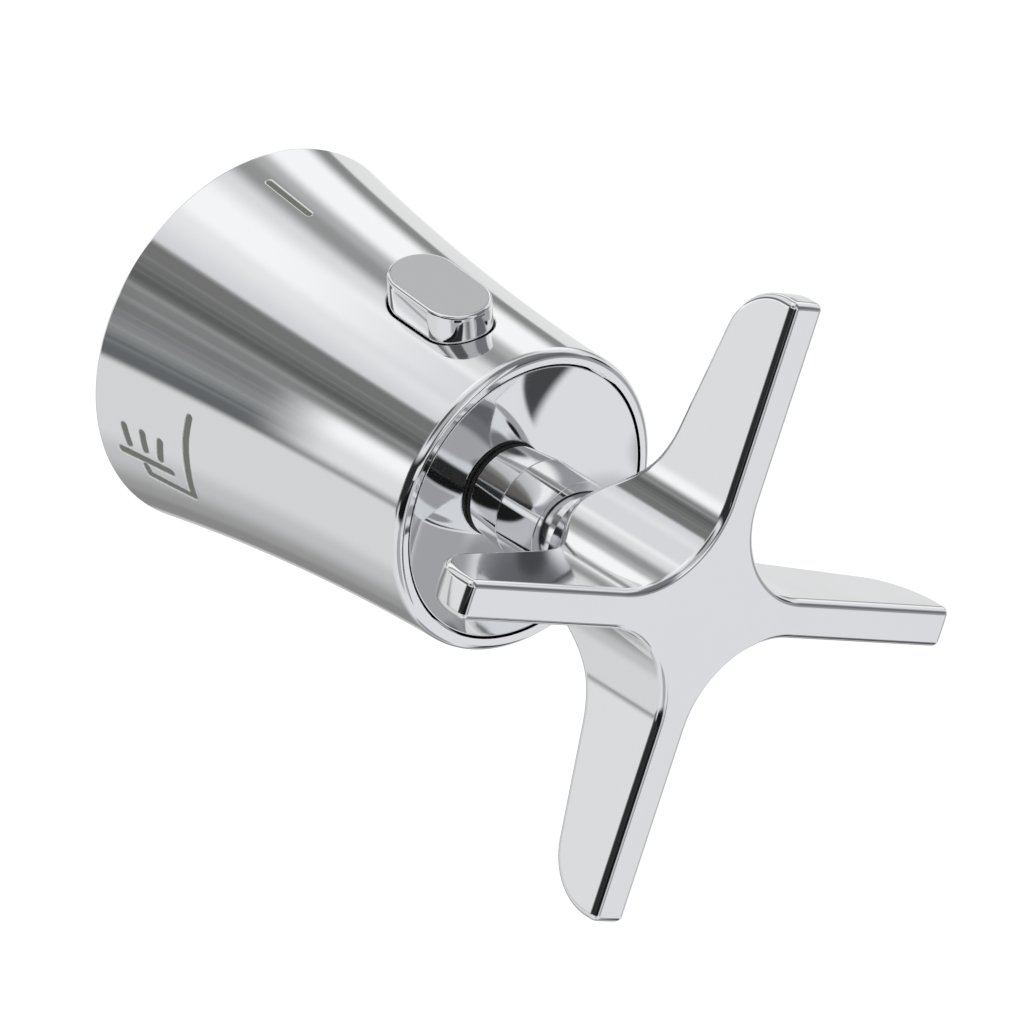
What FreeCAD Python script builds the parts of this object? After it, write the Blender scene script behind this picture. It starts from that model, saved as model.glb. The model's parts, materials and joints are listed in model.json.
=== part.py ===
import FreeCAD, Part
import math
import os
import re
import Sketcher

# A cross handle for a shower mixer: a trumpet-shaped sleeve with a push button on top, a dished
# front plate, a short stem and a four-armed cross. Every piece is drawn with its depth along +Y,
# counted from the front face of the cross, and then moved so that the mouth of the spindle bore
# is at the origin. +Z points to the button and the index line.

SIZES = [
    # the cross
    ("cross_reach", 36.0, "axis to the end face of an arm"),
    ("arm_width", 4.6, "width of an arm seen from the front"),
    ("arm_hollow_radius", 10.9, "concave arc between two arms"),
    ("arm_tip_depth", 8.0, "depth of an arm at its end, before rounding"),
    ("arm_tip_radius", 7.3, "rounding of the back of an arm at its end"),
    ("arm_root_offset", 12.3, "axis to the corner where the arm's back meets the hub cone"),
    ("arm_root_depth", 12.0, "depth of the cross at that corner"),
    ("arm_root_radius", 12.8, "sweep between the arm's back and the hub cone"),
    ("hub_end_radius", 6.6, "radius of the hub at its rear end"),
    ("hub_depth", 19.6, "front face to the rear end of the hub"),
    ("cross_angle", 25.6, "first arm of the cross from the top, in degrees"),
    ("edge_round", 0.5, "rounding of the polished edges of the cross"),
    # the stem between the cross and the dish
    ("neck_radius", 5.85, "radius of the collar ring and the stem tube"),
    ("collar_length", 3.3, "length of the collar ring"),
    ("foot_length", 5.1, "length of the tapered stem foot"),
    ("foot_end_radius", 5.35, "radius of the stem foot at its shoulder"),
    ("spigot_radius", 4.9, "radius of the foot's spigot, through the dish"),
    ("joint_gap", 0.05, "line between two faces that are clamped together"),
    ("ring_wire", 0.5, "wire diameter of the ring seal round the stem foot"),
    ("clearance", 0.1, "radial clearance of parts that slide together"),
    # the drive from the cross to the carrier
    ("drive_flats", 6.6, "drive shaft, across flats"),
    ("drive_depth", 8.8, "depth of the hexagon socket in the hub"),
    ("carrier_socket_depth", 8.2, "depth of the hexagon socket in the carrier"),
    ("screw_diameter", 4.0, "clamping screw"),
    ("screw_bite", 5.8, "threaded length beyond the hub's socket"),
    ("screw_head_radius", 3.5, "cylinder head of the clamping screw"),
    ("screw_head_length", 3.6, "cylinder head of the clamping screw"),
    ("key_flats", 3.0, "hexagon key of the clamping screw, across flats"),
    ("key_depth", 2.0, "depth of that hexagon"),
    ("washer_thickness", 0.8, "spring washer"),
    # where the sleeve stands
    ("cross_to_lip", 31.4, "front face of the cross to the lip of the sleeve"),
    ("mouth_recess", 6.0, "rear rim of the sleeve to the mouth of the spindle bore"),
    # the sleeve
    ("sleeve_length", 47.4, "lip to rear rim"),
    ("sleeve_front_radius", 17.7, "outside, at the lip"),
    ("sleeve_rear_radius", 22.1, "outside, at the rear rim"),
    ("sleeve_sweep_radius", 330.0, "hollow curve of the sleeve's side"),
    ("sleeve_wall", 1.6, "wall of the sleeve"),
    ("lip_bore_radius", 16.15, "bore behind the lip, which holds the dish"),
    ("lip_round", 1.0, "rounding of the lip"),
    ("rear_round", 0.3, "rounding of the rear rim"),
    ("ledge_depth", 3.2, "lip to the ledge that carries the dish"),
    ("ledge_thickness", 1.8, "ledge between the dish and the carrier"),
    ("ledge_inner_radius", 13.4, "opening in the ledge"),
    ("glide_seat_depth", 3.9, "rear rim to the end of the glide ring's seat"),
    ("rear_wall", 1.9, "wall of the sleeve round the glide ring, at the rear rim"),
    ("glide_step", 0.4, "step in front of the glide ring"),
    ("key_rib_width", 2.5, "rib in the sleeve that turns the carrier"),
    ("key_rib_radius", 14.9, "axis to the inner face of that rib"),
    ("key_rib_length", 4.0, "length of that rib behind the ledge"),
    ("key_rib_count", 3, "ribs round the sleeve"),
    # the dish
    ("dish_gap", 0.2, "dark seam between the dish and the lip"),
    ("dish_set_back", 0.15, "lip to the rim of the dish"),
    ("dish_sweep_radius", 36.2, "hollow of the dish"),
    ("dish_thickness", 1.3, "wall of the dish"),
    ("dish_rim_thickness", 2.55, "rim of the dish"),
    ("dish_flat_radius", 13.4, "inside of the flat back of the rim"),
    # the carrier
    ("carrier_disc_thickness", 3.0, "front disc of the carrier"),
    ("carrier_disc_radius", 15.6, "front disc of the carrier"),
    ("carrier_neck_radius", 6.2, "front hub of the carrier"),
    ("carrier_hub_radius", 8.2, "rear hub of the carrier"),
    ("carrier_neck_end", 21.0, "lip to the step between the two hubs"),
    ("carrier_web", 2.5, "floor of the hexagon socket"),
    ("carrier_well_radius", 4.4, "room for the head of the clamping screw"),
    ("carrier_flange_height", 2.0, "flange behind the stop ring, beyond the hub"),
    ("carrier_flange_thickness", 1.5, "flange behind the stop ring"),
    ("spigot_depth", 1.4, "depth of the spigot's seat in the carrier"),
    # the spindle adapter
    ("adapter_radius", 6.0, "outside of the brass adapter"),
    ("adapter_length", 18.3, "length of the adapter"),
    ("adapter_proud", 0.4, "adapter beyond the end of the carrier"),
    ("pilot_radius", 4.5, "plain mouth of the adapter"),
    ("pilot_length", 6.4, "plain mouth of the adapter"),
    ("spline_root_radius", 4.1, "depth of the spline grooves"),
    ("spline_tip_radius", 3.7, "bore between the spline grooves"),
    ("spline_count", 20, "splines of the valve spindle"),
    ("spline_width", 0.8, "width of a spline groove"),
    ("adapter_lip_radius", 3.2, "opening in the front end of the adapter"),
    ("adapter_lip_thickness", 1.2, "front end of the adapter"),
    # the grub screw
    ("grub_place", 31.0, "lip to the axis of the grub screw"),
    ("grub_diameter", 4.0, "grub screw"),
    ("grub_length", 6.5, "grub screw"),
    ("grub_seat", 5.0, "axis of the handle to the tip of the grub screw"),
    ("grub_boss_radius", 3.6, "boss round the grub screw"),
    ("grub_boss_reach", 12.6, "axis of the handle to the end of the boss"),
    ("grub_access_radius", 2.4, "access hole in the underside of the sleeve"),
    # the stop ring
    ("stop_ring_height", 3.8, "stop ring beyond the rear hub"),
    ("stop_ring_width", 3.1, "stop ring along the axis"),
    ("stop_lug_height", 1.5, "lug that the latch catches, beyond the rear hub"),
    ("stop_lug_length", 1.8, "lug in front of the stop ring"),
    ("stop_lug_width", 2.2, "lug, round the axis"),
    ("stop_lug_angle", 28.0, "lug from the top, in degrees"),
    ("clip_thickness", 0.7, "clip in front of the stop ring"),
    ("clip_height", 1.4, "that clip beyond the rear hub"),
    ("clip_mouth", 12.0, "opening of that clip"),
    # the glide ring
    ("glide_wall", 1.15, "wall of the glide ring"),
    ("glide_length", 3.2, "glide ring along the axis"),
    # the button
    ("button_place", 13.3, "lip to the middle of the button"),
    ("button_length", 13.4, "along the sleeve"),
    ("button_width", 8.0, "across the sleeve"),
    ("button_gap", 0.3, "gap round the button"),
    ("button_proud", 3.26, "middle of the button's face above the sleeve"),
    ("button_slope", 0.09, "rise of the button's face towards the rear"),
    ("button_edge_round", 0.4, "rounding of the button's face"),
    ("button_wall", 1.0, "wall of the hollow button"),
    ("button_face_wall", 1.9, "wall of the button under its face"),
    ("button_travel", 2.2, "stroke of the button"),
    ("land_depth", 3.04, "outside of the sleeve to the flat land inside it"),
    ("land_length", 16.2, "flat land along the sleeve"),
    ("land_width", 13.2, "flat land across the sleeve"),
    ("seal_thickness", 0.6, "flat seal under the land"),
    ("seal_length", 15.8, "flat seal"),
    ("seal_width", 11.0, "flat seal"),
    ("guide_length", 16.0, "guide along the sleeve"),
    ("guide_width", 13.0, "guide across the sleeve"),
    ("guide_floor", 1.2, "floor of the guide"),
    ("guide_corner", 2.0, "corner of the guide"),
    ("flange_thickness", 1.0, "side flanges of the button"),
    ("flange_width", 10.6, "across both side flanges"),
    ("flange_length", 8.0, "side flanges along the sleeve"),
    ("pin_radius", 1.3, "pin of the latch"),
    ("pin_boss_wall", 0.65, "wall of the button's inner boss"),
    ("spring_wire_radius", 0.3, "wire of the return spring"),
    ("spring_coil_radius", 2.45, "return spring, middle of the wire"),
    ("spring_coils", 5, "turns of the return spring"),
    ("pin_clip_thickness", 0.5, "clip on the pin of the latch"),
    ("pin_clip_radius", 2.6, "clip on the pin of the latch"),
    ("latch_width", 4.0, "arm of the latch"),
    ("latch_thickness", 1.4, "arm of the latch"),
    ("latch_front", 2.0, "arm of the latch in front of its pin"),
    ("latch_tip_gap", 0.4, "tip of the arm to the rear hub"),
    ("pin_boss_length", 3.5, "inner boss of the button"),
    ("pin_clip_mouth", 1.8, "opening of the clip on the pin"),
    ("tab_drop", 3.0, "tab of the guide below its floor"),
    ("tab_thickness", 1.3, "tab of the guide"),
    ("tab_width", 10.0, "tab of the guide"),
    ("small_screw_radius", 0.9, "screws of the guide"),
    ("small_screw_head_radius", 1.4, "screws of the guide"),
    ("small_screw_head_length", 1.1, "screws of the guide"),
    ("small_screw_bite", 2.6, "screws of the guide, in the carrier"),
    ("small_screw_offset", 3.3, "middle of the tab to each screw"),
]

doc = FreeCAD.newDocument("CrossHandle")
sheet = doc.addObject("Spreadsheet::Sheet", "Sizes")
for row, (alias, number, note) in enumerate(SIZES, start=1):
    sheet.set("A%d" % row, alias)
    sheet.set("B%d" % row, str(number))
    sheet.set("C%d" % row, note)
    sheet.setAlias("B%d" % row, alias)
doc.recompute()
ALIASES = {alias for alias, number, note in SIZES}


def linked(text):
    """The text with each size's name pointing to its cell."""
    return re.sub(r"[a-z]+(?:_[a-z]+)*",
                  lambda word: "Sizes." + word.group() if word.group() in ALIASES else word.group(),
                  text)


def value(text):
    """The number that an expression of sizes gives."""
    return float(sheet.evalExpression(linked(text)))


def bind(thing, setting, text):
    thing.setExpression(setting, linked(text))


# Places along the axis, in front of and behind the lip of the sleeve
LIP = "cross_to_lip"
REAR_RIM = "cross_to_lip + sleeve_length"
MOUTH = "cross_to_lip + sleeve_length - mouth_recess"
COLLAR_FRONT = "hub_depth + joint_gap"
COLLAR_BACK = "hub_depth + joint_gap + collar_length"
TUBE_FRONT = COLLAR_BACK + " + joint_gap"
LEDGE_FRONT = "cross_to_lip + ledge_depth"
LEDGE_BACK = "cross_to_lip + ledge_depth + ledge_thickness"
CARRIER_FRONT = LEDGE_BACK + " + joint_gap"
DISC_BACK = CARRIER_FRONT + " + carrier_disc_thickness"
SOCKET_FLOOR = CARRIER_FRONT + " + carrier_socket_depth"
WEB_BACK = SOCKET_FLOOR + " + carrier_web"
NECK_END = "cross_to_lip + carrier_neck_end"
CARRIER_BACK = MOUTH + " - adapter_proud"
ADAPTER_FRONT = MOUTH + " - adapter_length"
BUTTON = "cross_to_lip + button_place"
GRUB = "cross_to_lip + grub_place"
STOP_FRONT = NECK_END + " + clip_thickness + 8 * joint_gap"
FLANGE_FRONT = STOP_FRONT + " + stop_ring_width + joint_gap"
FLANGE_BACK = FLANGE_FRONT + " + carrier_flange_thickness"
TAB_FRONT = DISC_BACK + " + joint_gap"
TAB_BACK = TAB_FRONT + " + tab_thickness"

# Sizes that follow from others
ARM_END = "(sqrt(cross_reach ^ 2 + (arm_width / 2) ^ 2) + joint_gap)"
DISH_RADIUS = "(lip_bore_radius - dish_gap)"
DISH_RIM = "cross_to_lip + dish_set_back"
DISH_HOLE = "(spigot_radius + clearance)"
SCREW_RADIUS = "(screw_diameter / 2)"
SCREW_HOLE = "(screw_diameter / 2 + clearance)"
GRUB_HOLE = "(grub_diameter / 2 + clearance)"
SOCKET_FLATS = "(drive_flats + 2 * clearance)"
BORE_OF_NECK = "(drive_flats / sqrt(3) + clearance)"
CAVITY_FRONT_RADIUS = "(sleeve_front_radius - sleeve_wall)"
SLOT_WIDTH = "(button_width + 2 * button_gap)"
SLOT_LENGTH = "(button_length + 2 * button_gap)"
FLANGE_RADIUS = "(carrier_hub_radius + carrier_flange_height)"
STOP_RADIUS = "(carrier_hub_radius + stop_ring_height)"
CLIP_RADIUS = "(carrier_hub_radius + clip_height)"

# The hollow curve of the sleeve is an arc through the lip and the rear rim; this is its radius
# from the handle's axis where the button comes through, on which the button's pieces hang
SLEEVE_FLARE = "(sleeve_rear_radius - sleeve_front_radius)"
SWEEP_CHORD = "sqrt(sleeve_length ^ 2 + " + SLEEVE_FLARE + " ^ 2)"
SWEEP_REACH = "sqrt(sleeve_sweep_radius ^ 2 - " + SWEEP_CHORD + " ^ 2 / 4) / " + SWEEP_CHORD
SWEEP_PLACE = "(sleeve_length / 2 - %s * %s)" % (SLEEVE_FLARE, SWEEP_REACH)
SWEEP_HEIGHT = "((sleeve_front_radius + sleeve_rear_radius) / 2 + sleeve_length * %s)" % SWEEP_REACH
SLEEVE_THERE = "(%s - sqrt(sleeve_sweep_radius ^ 2 - (button_place - %s) ^ 2))" % (
    SWEEP_HEIGHT, SWEEP_PLACE)
BUTTON_TOP = "(" + SLEEVE_THERE + " + button_proud)"
CEILING = "(" + BUTTON_TOP + " - button_face_wall)"
LAND = "(" + SLEEVE_THERE + " - land_depth)"
SEAL_TOP = "(" + LAND + " - joint_gap)"
SEAL_BOTTOM = "(" + SEAL_TOP + " - seal_thickness)"
FLANGE_TOP = "(" + SEAL_BOTTOM + " - joint_gap)"
FLANGE_BOTTOM = "(" + FLANGE_TOP + " - flange_thickness)"
FLOOR_TOP = "(" + FLANGE_BOTTOM + " - button_travel - 0.5 * flange_thickness)"
FLOOR_BOTTOM = "(" + FLOOR_TOP + " - guide_floor)"
CLIP_TOP = "(" + FLOOR_BOTTOM + " - joint_gap)"
LATCH_TOP = "(" + CLIP_TOP + " - pin_clip_thickness - joint_gap)"
LATCH_BOTTOM = "(" + LATCH_TOP + " - latch_thickness)"
SMALL_SCREW_HEIGHT = "(" + FLOOR_BOTTOM + " - tab_drop / 2)"
GLIDE_SEAT = "(sleeve_rear_radius - rear_wall)"
RING_MIDDLE = "(spigot_radius + joint_gap + ring_wire / 2)"


def depth_of_hollow(radius):
    """Depth of the dish's hollow face at a radius, behind the front face of the cross."""
    return ("(%s + sqrt(dish_sweep_radius ^ 2 - (%s) ^ 2) - sqrt(dish_sweep_radius ^ 2 - %s ^ 2))"
            % (DISH_RIM, radius, DISH_RADIUS))


# The foot of the stem stands on the ring seal, and the tube fills what is left to the collar
RING_PLACE = depth_of_hollow(RING_MIDDLE) + " - joint_gap - ring_wire / 2"
FOOT_BACK = RING_PLACE + " - ring_wire / 2 - joint_gap"
FOOT_FRONT = FOOT_BACK + " - foot_length"
TUBE_BACK = FOOT_FRONT + " - joint_gap"


def new_body(label):
    body = doc.addObject("PartDesign::Body", label)
    body.Label = label
    bind(body, "Placement.Base.y", "-(" + MOUTH + ")")
    return body


def new_sketch(body, plane, offset="0"):
    """An empty sketch on one of the body's own planes, moved along +X, +Y or +Z by the offset."""
    sketch = body.newObject("Sketcher::SketchObject", body.Label + "_outline")
    origin_plane = [item for item in body.Origin.OriginFeatures if item.Role == plane + "_Plane"][0]
    sketch.AttachmentSupport = (origin_plane, [""])
    sketch.MapMode = "FlatFace"
    if offset != "0":
        sign = "-" if plane == "XZ" else ""
        bind(sketch, "AttachmentOffset.Base.z", sign + "(" + offset + ")")
    return sketch


def place_point(sketch, item, position, across, along):
    """Ties a point of the sketch to two expressions, measured from the sketch's origin."""
    for kind, axis, text in (("DistanceX", -2, across), ("DistanceY", -1, along)):
        if abs(value(text)) < 1e-6:
            sketch.addConstraint(Sketcher.Constraint("PointOnObject", item, position, axis))
            continue
        index = sketch.addConstraint(
            Sketcher.Constraint(kind, -1, 1, item, position, value(text)))
        bind(sketch, "Constraints[%d]" % index, text)


def add_circle(sketch, across, along, radius):
    centre = FreeCAD.Vector(value(across), value(along), 0)
    item = sketch.addGeometry(Part.Circle(centre, FreeCAD.Vector(0, 0, 1), value(radius)))
    place_point(sketch, item, 3, across, along)
    index = sketch.addConstraint(Sketcher.Constraint("Radius", item, value(radius)))
    bind(sketch, "Constraints[%d]" % index, radius)


def add_arc(sketch, centre, radius, start, end, leftward):
    """An arc from start to end, which turns left or right on its way. Gives the item and which
    of its points are the start and the end."""
    first, last = (start, end) if leftward else (end, start)
    angles = [math.atan2(p.y - centre.y, p.x - centre.x) for p in (first, last)]
    if angles[1] < angles[0]:
        angles[1] += 2 * math.pi
    circle = Part.Circle(centre, FreeCAD.Vector(0, 0, 1), radius)
    item = sketch.addGeometry(Part.ArcOfCircle(circle, angles[0], angles[1]))
    return (item, 1, 2) if leftward else (item, 2, 1)


def set_radius(sketch, item, text):
    index = sketch.addConstraint(Sketcher.Constraint("Radius", item, value(text)))
    bind(sketch, "Constraints[%d]" % index, text)


def tie(sketch, kind, before, after):
    """Joins the end of one edge to the start of the next, as Coincident or Tangent."""
    sketch.addConstraint(Sketcher.Constraint(kind, before[0], before[2], after[0], after[1]))


def add_outline(sketch, corners, bows=None):
    """A closed outline through the corners. A corner is (across, along) or, where it is rounded,
    (across, along, radius). bows gives the edges that are arcs, as {edge: (radius, side)}, where
    side +1 bulges to the left of the way round and -1 to the right."""
    bows = bows or {}
    count = len(corners)
    points = [FreeCAD.Vector(value(c[0]), value(c[1]), 0) for c in corners]
    enter, leave, arcs = list(points), list(points), {}
    for i, corner in enumerate(corners):
        if len(corner) == 3:
            back = (points[i - 1] - points[i]).normalize()
            ahead = (points[(i + 1) % count] - points[i]).normalize()
            half = back.getAngle(ahead) / 2
            radius = value(corner[2])
            enter[i] = points[i] + back * (radius / math.tan(half))
            leave[i] = points[i] + ahead * (radius / math.tan(half))
            centre = points[i] + (back + ahead).normalize() * (radius / math.sin(half))
            arcs[i] = (centre, radius, ahead.cross(back).z > 0)
    edges = []
    for i in range(count):
        start, end = leave[i], enter[(i + 1) % count]
        if i in bows:
            text, side = bows[i]
            radius = value(text)
            chord = end - start
            left = FreeCAD.Vector(-chord.y, chord.x, 0).normalize()
            height = math.sqrt(radius ** 2 - (chord.Length / 2) ** 2)
            centre = (start + end) * 0.5 - left * (side * height)
            edges.append(add_arc(sketch, centre, radius, start, end, side < 0))
            set_radius(sketch, edges[-1][0], text)
        else:
            edges.append((sketch.addGeometry(Part.LineSegment(start, end)), 1, 2))
    for i, corner in enumerate(corners):
        before, after = edges[i - 1], edges[i]
        if i in arcs:
            centre, radius, leftward = arcs[i]
            arc = add_arc(sketch, centre, radius, enter[i], leave[i], leftward)
            tie(sketch, "Tangent", before, arc)
            tie(sketch, "Tangent", arc, after)
            set_radius(sketch, arc[0], corner[2])
            mark = sketch.addGeometry(Part.Point(points[i]), True)
            place_point(sketch, mark, 1, corner[0], corner[1])
            sketch.addConstraint(Sketcher.Constraint("PointOnObject", mark, 1, before[0]))
            sketch.addConstraint(Sketcher.Constraint("PointOnObject", mark, 1, after[0]))
        else:
            tie(sketch, "Coincident", before, after)
            place_point(sketch, after[0], after[1], corner[0], corner[1])


def add_box_outline(sketch, across, along, width, length, corner=None):
    """A rectangle about a middle point, with rounded corners where a radius is given."""
    signs = ((1, -1), (1, 1), (-1, 1), (-1, -1))
    corners = []
    for side, end in signs:
        point = ("%s + %d * (%s) / 2" % (across, side, width),
                 "%s + %d * (%s) / 2" % (along, end, length))
        corners.append(point + ((corner,) if corner else ()))
    add_outline(sketch, corners)


def add_capsule(sketch, across, along, width, length):
    """Two half circles joined by straight sides, as long as given from end to end."""
    side = "(%s) / 2" % width
    run = "((%s) - (%s)) / 2" % (length, width)
    corners = [("%s + %s" % (across, side), "%s - %s" % (along, run)),
               ("%s + %s" % (across, side), "%s + %s" % (along, run)),
               ("%s - %s" % (across, side), "%s + %s" % (along, run)),
               ("%s - %s" % (across, side), "%s - %s" % (along, run))]
    points = [FreeCAD.Vector(value(c[0]), value(c[1]), 0) for c in corners]
    radius = value(side)
    right = (sketch.addGeometry(Part.LineSegment(points[0], points[1])), 1, 2)
    back = add_arc(sketch, (points[1] + points[2]) * 0.5, radius, points[1], points[2], True)
    left = (sketch.addGeometry(Part.LineSegment(points[2], points[3])), 1, 2)
    front = add_arc(sketch, (points[3] + points[0]) * 0.5, radius, points[3], points[0], True)
    for straight, bend, following in ((right, back, left), (left, front, right)):
        tie(sketch, "Tangent", straight, bend)
        tie(sketch, "Coincident", bend, following)
    for item, position, corner in ((right[0], 1, corners[0]), (right[0], 2, corners[1]),
                                   (left[0], 1, corners[2]), (left[0], 2, corners[3])):
        place_point(sketch, item, position, corner[0], corner[1])


def add_hexagon(sketch, flats, across="0", along="0", turn="0"):
    """A regular hexagon with corners to the left and right of its middle, unless it is turned."""
    corners = []
    for angle in range(0, 360, 60):
        corners.append(("%s + (%s) / sqrt(3) * cos(%d + %s)" % (across, flats, angle, turn),
                        "%s + (%s) / sqrt(3) * sin(%d + %s)" % (along, flats, angle, turn)))
    add_outline(sketch, corners)


def checked(body, feature, adds):
    """Recomputes and makes sure that the feature really added or removed material."""
    before = body.Shape.Volume if not body.Shape.isNull() else 0.0
    body.Tip = feature
    doc.recompute()
    change = body.Shape.Volume - before
    if (change > 0) != adds or abs(change) < 1e-6:
        raise RuntimeError("%s changed %s by %g" % (feature.Name, body.Label, change))
    return feature


def prism(body, kind, plane, start, end, draw, *sizes):
    """Pads or pockets an outline from start to end, both measured along the plane's own axis."""
    sketch = new_sketch(body, plane, start)
    draw(sketch, *sizes)
    feature = body.newObject("PartDesign::" + kind, body.Label + "_" + kind.lower())
    feature.Profile = sketch
    bind(feature, "Length", "(" + end + ") - (" + start + ")")
    feature.Reversed = (kind == "Pad") == (plane == "XZ")
    return checked(body, feature, kind == "Pad")


def revolve(body, kind, draw, *sizes):
    """Turns an outline, drawn as radius and depth, about the handle's axis."""
    sketch = new_sketch(body, "XY")
    draw(sketch, *sizes)
    feature = body.newObject("PartDesign::" + kind, body.Label + "_" + kind.lower())
    feature.Profile = sketch
    feature.ReferenceAxis = (sketch, ["V_Axis"])
    feature.Angle = 360
    return checked(body, feature, kind == "Revolution")


def turned(body, kind, corners, bows=None):
    return revolve(body, kind, add_outline, corners, bows)


def around(body, feature, count, adds):
    """Repeats a feature about the handle's axis."""
    pattern = body.newObject("PartDesign::PolarPattern", body.Label + "_pattern")
    pattern.Originals = [feature]
    axis = [item for item in body.Origin.OriginFeatures if item.Role == "Y_Axis"][0]
    pattern.Axis = (axis, [""])
    pattern.Angle = 360
    bind(pattern, "Occurrences", count)
    return checked(body, pattern, adds)


def turn_about_axis(body, angle):
    """Turns a finished body about the handle's axis, from the top towards +X."""
    body.Placement.Rotation = FreeCAD.Rotation(FreeCAD.Vector(0, 1, 0), value(angle))
    bind(body, "Placement.Rotation.Angle", angle + " * 1 deg")


def join(kind, label, **inputs):
    """A boolean of finished pieces."""
    result = doc.addObject(kind, label)
    result.Label = label
    for name, items in inputs.items():
        setattr(result, name, items)
    return result


def rounded(body, radius, picks):
    """Rounds the edges of the body's last feature that the test picks."""
    base = body.Tip
    names = ["Edge%d" % (i + 1) for i, edge in enumerate(base.Shape.Edges) if picks(edge)]
    fillet = body.newObject("PartDesign::Fillet", body.Label + "_fillet")
    fillet.Base = (base, names)
    bind(fillet, "Radius", radius)
    return checked(body, fillet, False)


def near(number, text, slack=0.01):
    return abs(number - value(text)) < slack


def rim_at(edge, radius, depth):
    """True for a full circle of that radius round the handle's axis, at that depth."""
    curve = edge.Curve
    return (isinstance(curve, Part.Circle) and near(curve.Radius, radius)
            and near(edge.BoundBox.Center.y, depth) and edge.BoundBox.YLength < 0.01)


# The cross and the stem


def add_cross_outline(sketch):
    """Four arms at right angles, with a concave arc in each corner."""
    arm, reach = "arm_width / 2", "cross_reach"
    one_quarter = [(arm, reach), (arm, arm, "arm_hollow_radius"), (reach, arm)]
    corners = []
    for quarter in range(4):
        for corner in one_quarter:
            across, along = corner[0], corner[1]
            for step in range(quarter):
                across, along = along, "-(%s)" % across
            corners.append((across, along) + corner[2:])
    add_outline(sketch, corners)


def cross_handle():
    body = new_body("cross_handle")
    prism(body, "Pad", "XZ", "0", "hub_depth", add_cross_outline)
    turned(body, "Groove", [
        (ARM_END + " + arm_width", "hub_depth + arm_width"),
        ("hub_end_radius", "hub_depth + arm_width"),
        ("hub_end_radius", "hub_depth"),
        ("arm_root_offset", "arm_root_depth", "arm_root_radius"),
        (ARM_END, "arm_tip_depth", "arm_tip_radius"),
        (ARM_END, "0"),
        (ARM_END + " + arm_width", "0"),
    ])
    rounded(body, "edge_round", lambda edge: edge.BoundBox.YMax < 0.01)
    # the arms are turned, the hexagon of the drive is not
    prism(body, "Pocket", "XZ", "hub_depth - drive_depth", "hub_depth", add_hexagon, SOCKET_FLATS,
          "0", "0", "cross_angle")
    prism(body, "Pocket", "XZ", "hub_depth - drive_depth - screw_bite", "hub_depth",
          add_circle, "0", "0", SCREW_HOLE)
    turn_about_axis(body, "cross_angle")
    return body


def stem_ring(label, front, back, radius, back_radius):
    """A ring of the stem with a round bore that clears the drive shaft."""
    body = new_body(label)
    turned(body, "Revolution", [(BORE_OF_NECK, front), (radius, front),
                                (back_radius, back), (BORE_OF_NECK, back)])
    return body


def collar_ring():
    return stem_ring("collar_ring", COLLAR_FRONT, COLLAR_BACK, "neck_radius", "neck_radius")


def stem_tube():
    return stem_ring("stem_tube", TUBE_FRONT, TUBE_BACK, "neck_radius", "neck_radius")


def stem_foot():
    """The tapered end of the stem, with the spigot that passes through the dish."""
    body = new_body("stem_foot")
    spigot_end = CARRIER_FRONT + " + spigot_depth - joint_gap"
    turned(body, "Revolution", [
        (BORE_OF_NECK, FOOT_FRONT), ("neck_radius", FOOT_FRONT), ("foot_end_radius", FOOT_BACK),
        ("spigot_radius", FOOT_BACK), ("spigot_radius", spigot_end), (BORE_OF_NECK, spigot_end)])
    return body


def stem_o_ring():
    """The black ring seal that lies in the corner between the stem foot and the dish."""
    body = new_body("stem_o_ring")
    revolve(body, "Revolution", add_circle, RING_MIDDLE, RING_PLACE, "ring_wire / 2")
    return body


def drive_shaft():
    """A hexagon bar that turns the carrier, bored for the clamping screw."""
    body = new_body("drive_shaft")
    front = "hub_depth - drive_depth + 2 * joint_gap"
    back = SOCKET_FLOOR + " - 2 * joint_gap"
    prism(body, "Pad", "XZ", front, back, add_hexagon, "drive_flats")
    prism(body, "Pocket", "XZ", front, back, add_circle, "0", "0", SCREW_HOLE)
    return body


def cross_screw():
    """The screw that clamps the cross, the stem, the dish and the carrier together."""
    body = new_body("cross_screw")
    head = WEB_BACK + " + washer_thickness + 2 * joint_gap"
    head_end = head + " + screw_head_length"
    tip = "hub_depth - drive_depth - screw_bite + 2 * joint_gap"
    turned(body, "Revolution", [
        ("0", tip), (SCREW_RADIUS, tip), (SCREW_RADIUS, head), ("screw_head_radius", head),
        ("screw_head_radius", head_end), ("0", head_end)])
    prism(body, "Pocket", "XZ", head_end + " - key_depth", head_end, add_hexagon, "key_flats")
    return body


def lock_washer():
    body = new_body("lock_washer")
    front = WEB_BACK + " + joint_gap"
    back = front + " + washer_thickness"
    turned(body, "Revolution", [
        (SCREW_HOLE, front), ("screw_head_radius", front),
        ("screw_head_radius", back), (SCREW_HOLE, back)])
    return body


# The dish and the sleeve


def front_dish():
    """A turned disc: hollow in front, with a flat-backed rim that stands on the seal."""
    body = new_body("front_dish")
    rim_back = DISH_RIM + " + dish_rim_thickness"
    hole_front = depth_of_hollow(DISH_HOLE)
    turned(body, "Revolution", [
        (DISH_HOLE, hole_front), (DISH_RADIUS, DISH_RIM), (DISH_RADIUS, rim_back),
        ("dish_flat_radius", rim_back), (DISH_HOLE, hole_front + " + dish_thickness")],
        {0: ("dish_sweep_radius", 1), 3: ("dish_sweep_radius + dish_thickness", -1)})
    return body


def dish_seal():
    body = new_body("dish_seal")
    front = DISH_RIM + " + dish_rim_thickness + joint_gap"
    back = LEDGE_FRONT + " - joint_gap"
    inner = "dish_flat_radius + 2 * clearance"
    turned(body, "Revolution", [
        (inner, front), (DISH_RADIUS, front), (DISH_RADIUS, back), (inner, back)])
    return body


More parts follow.
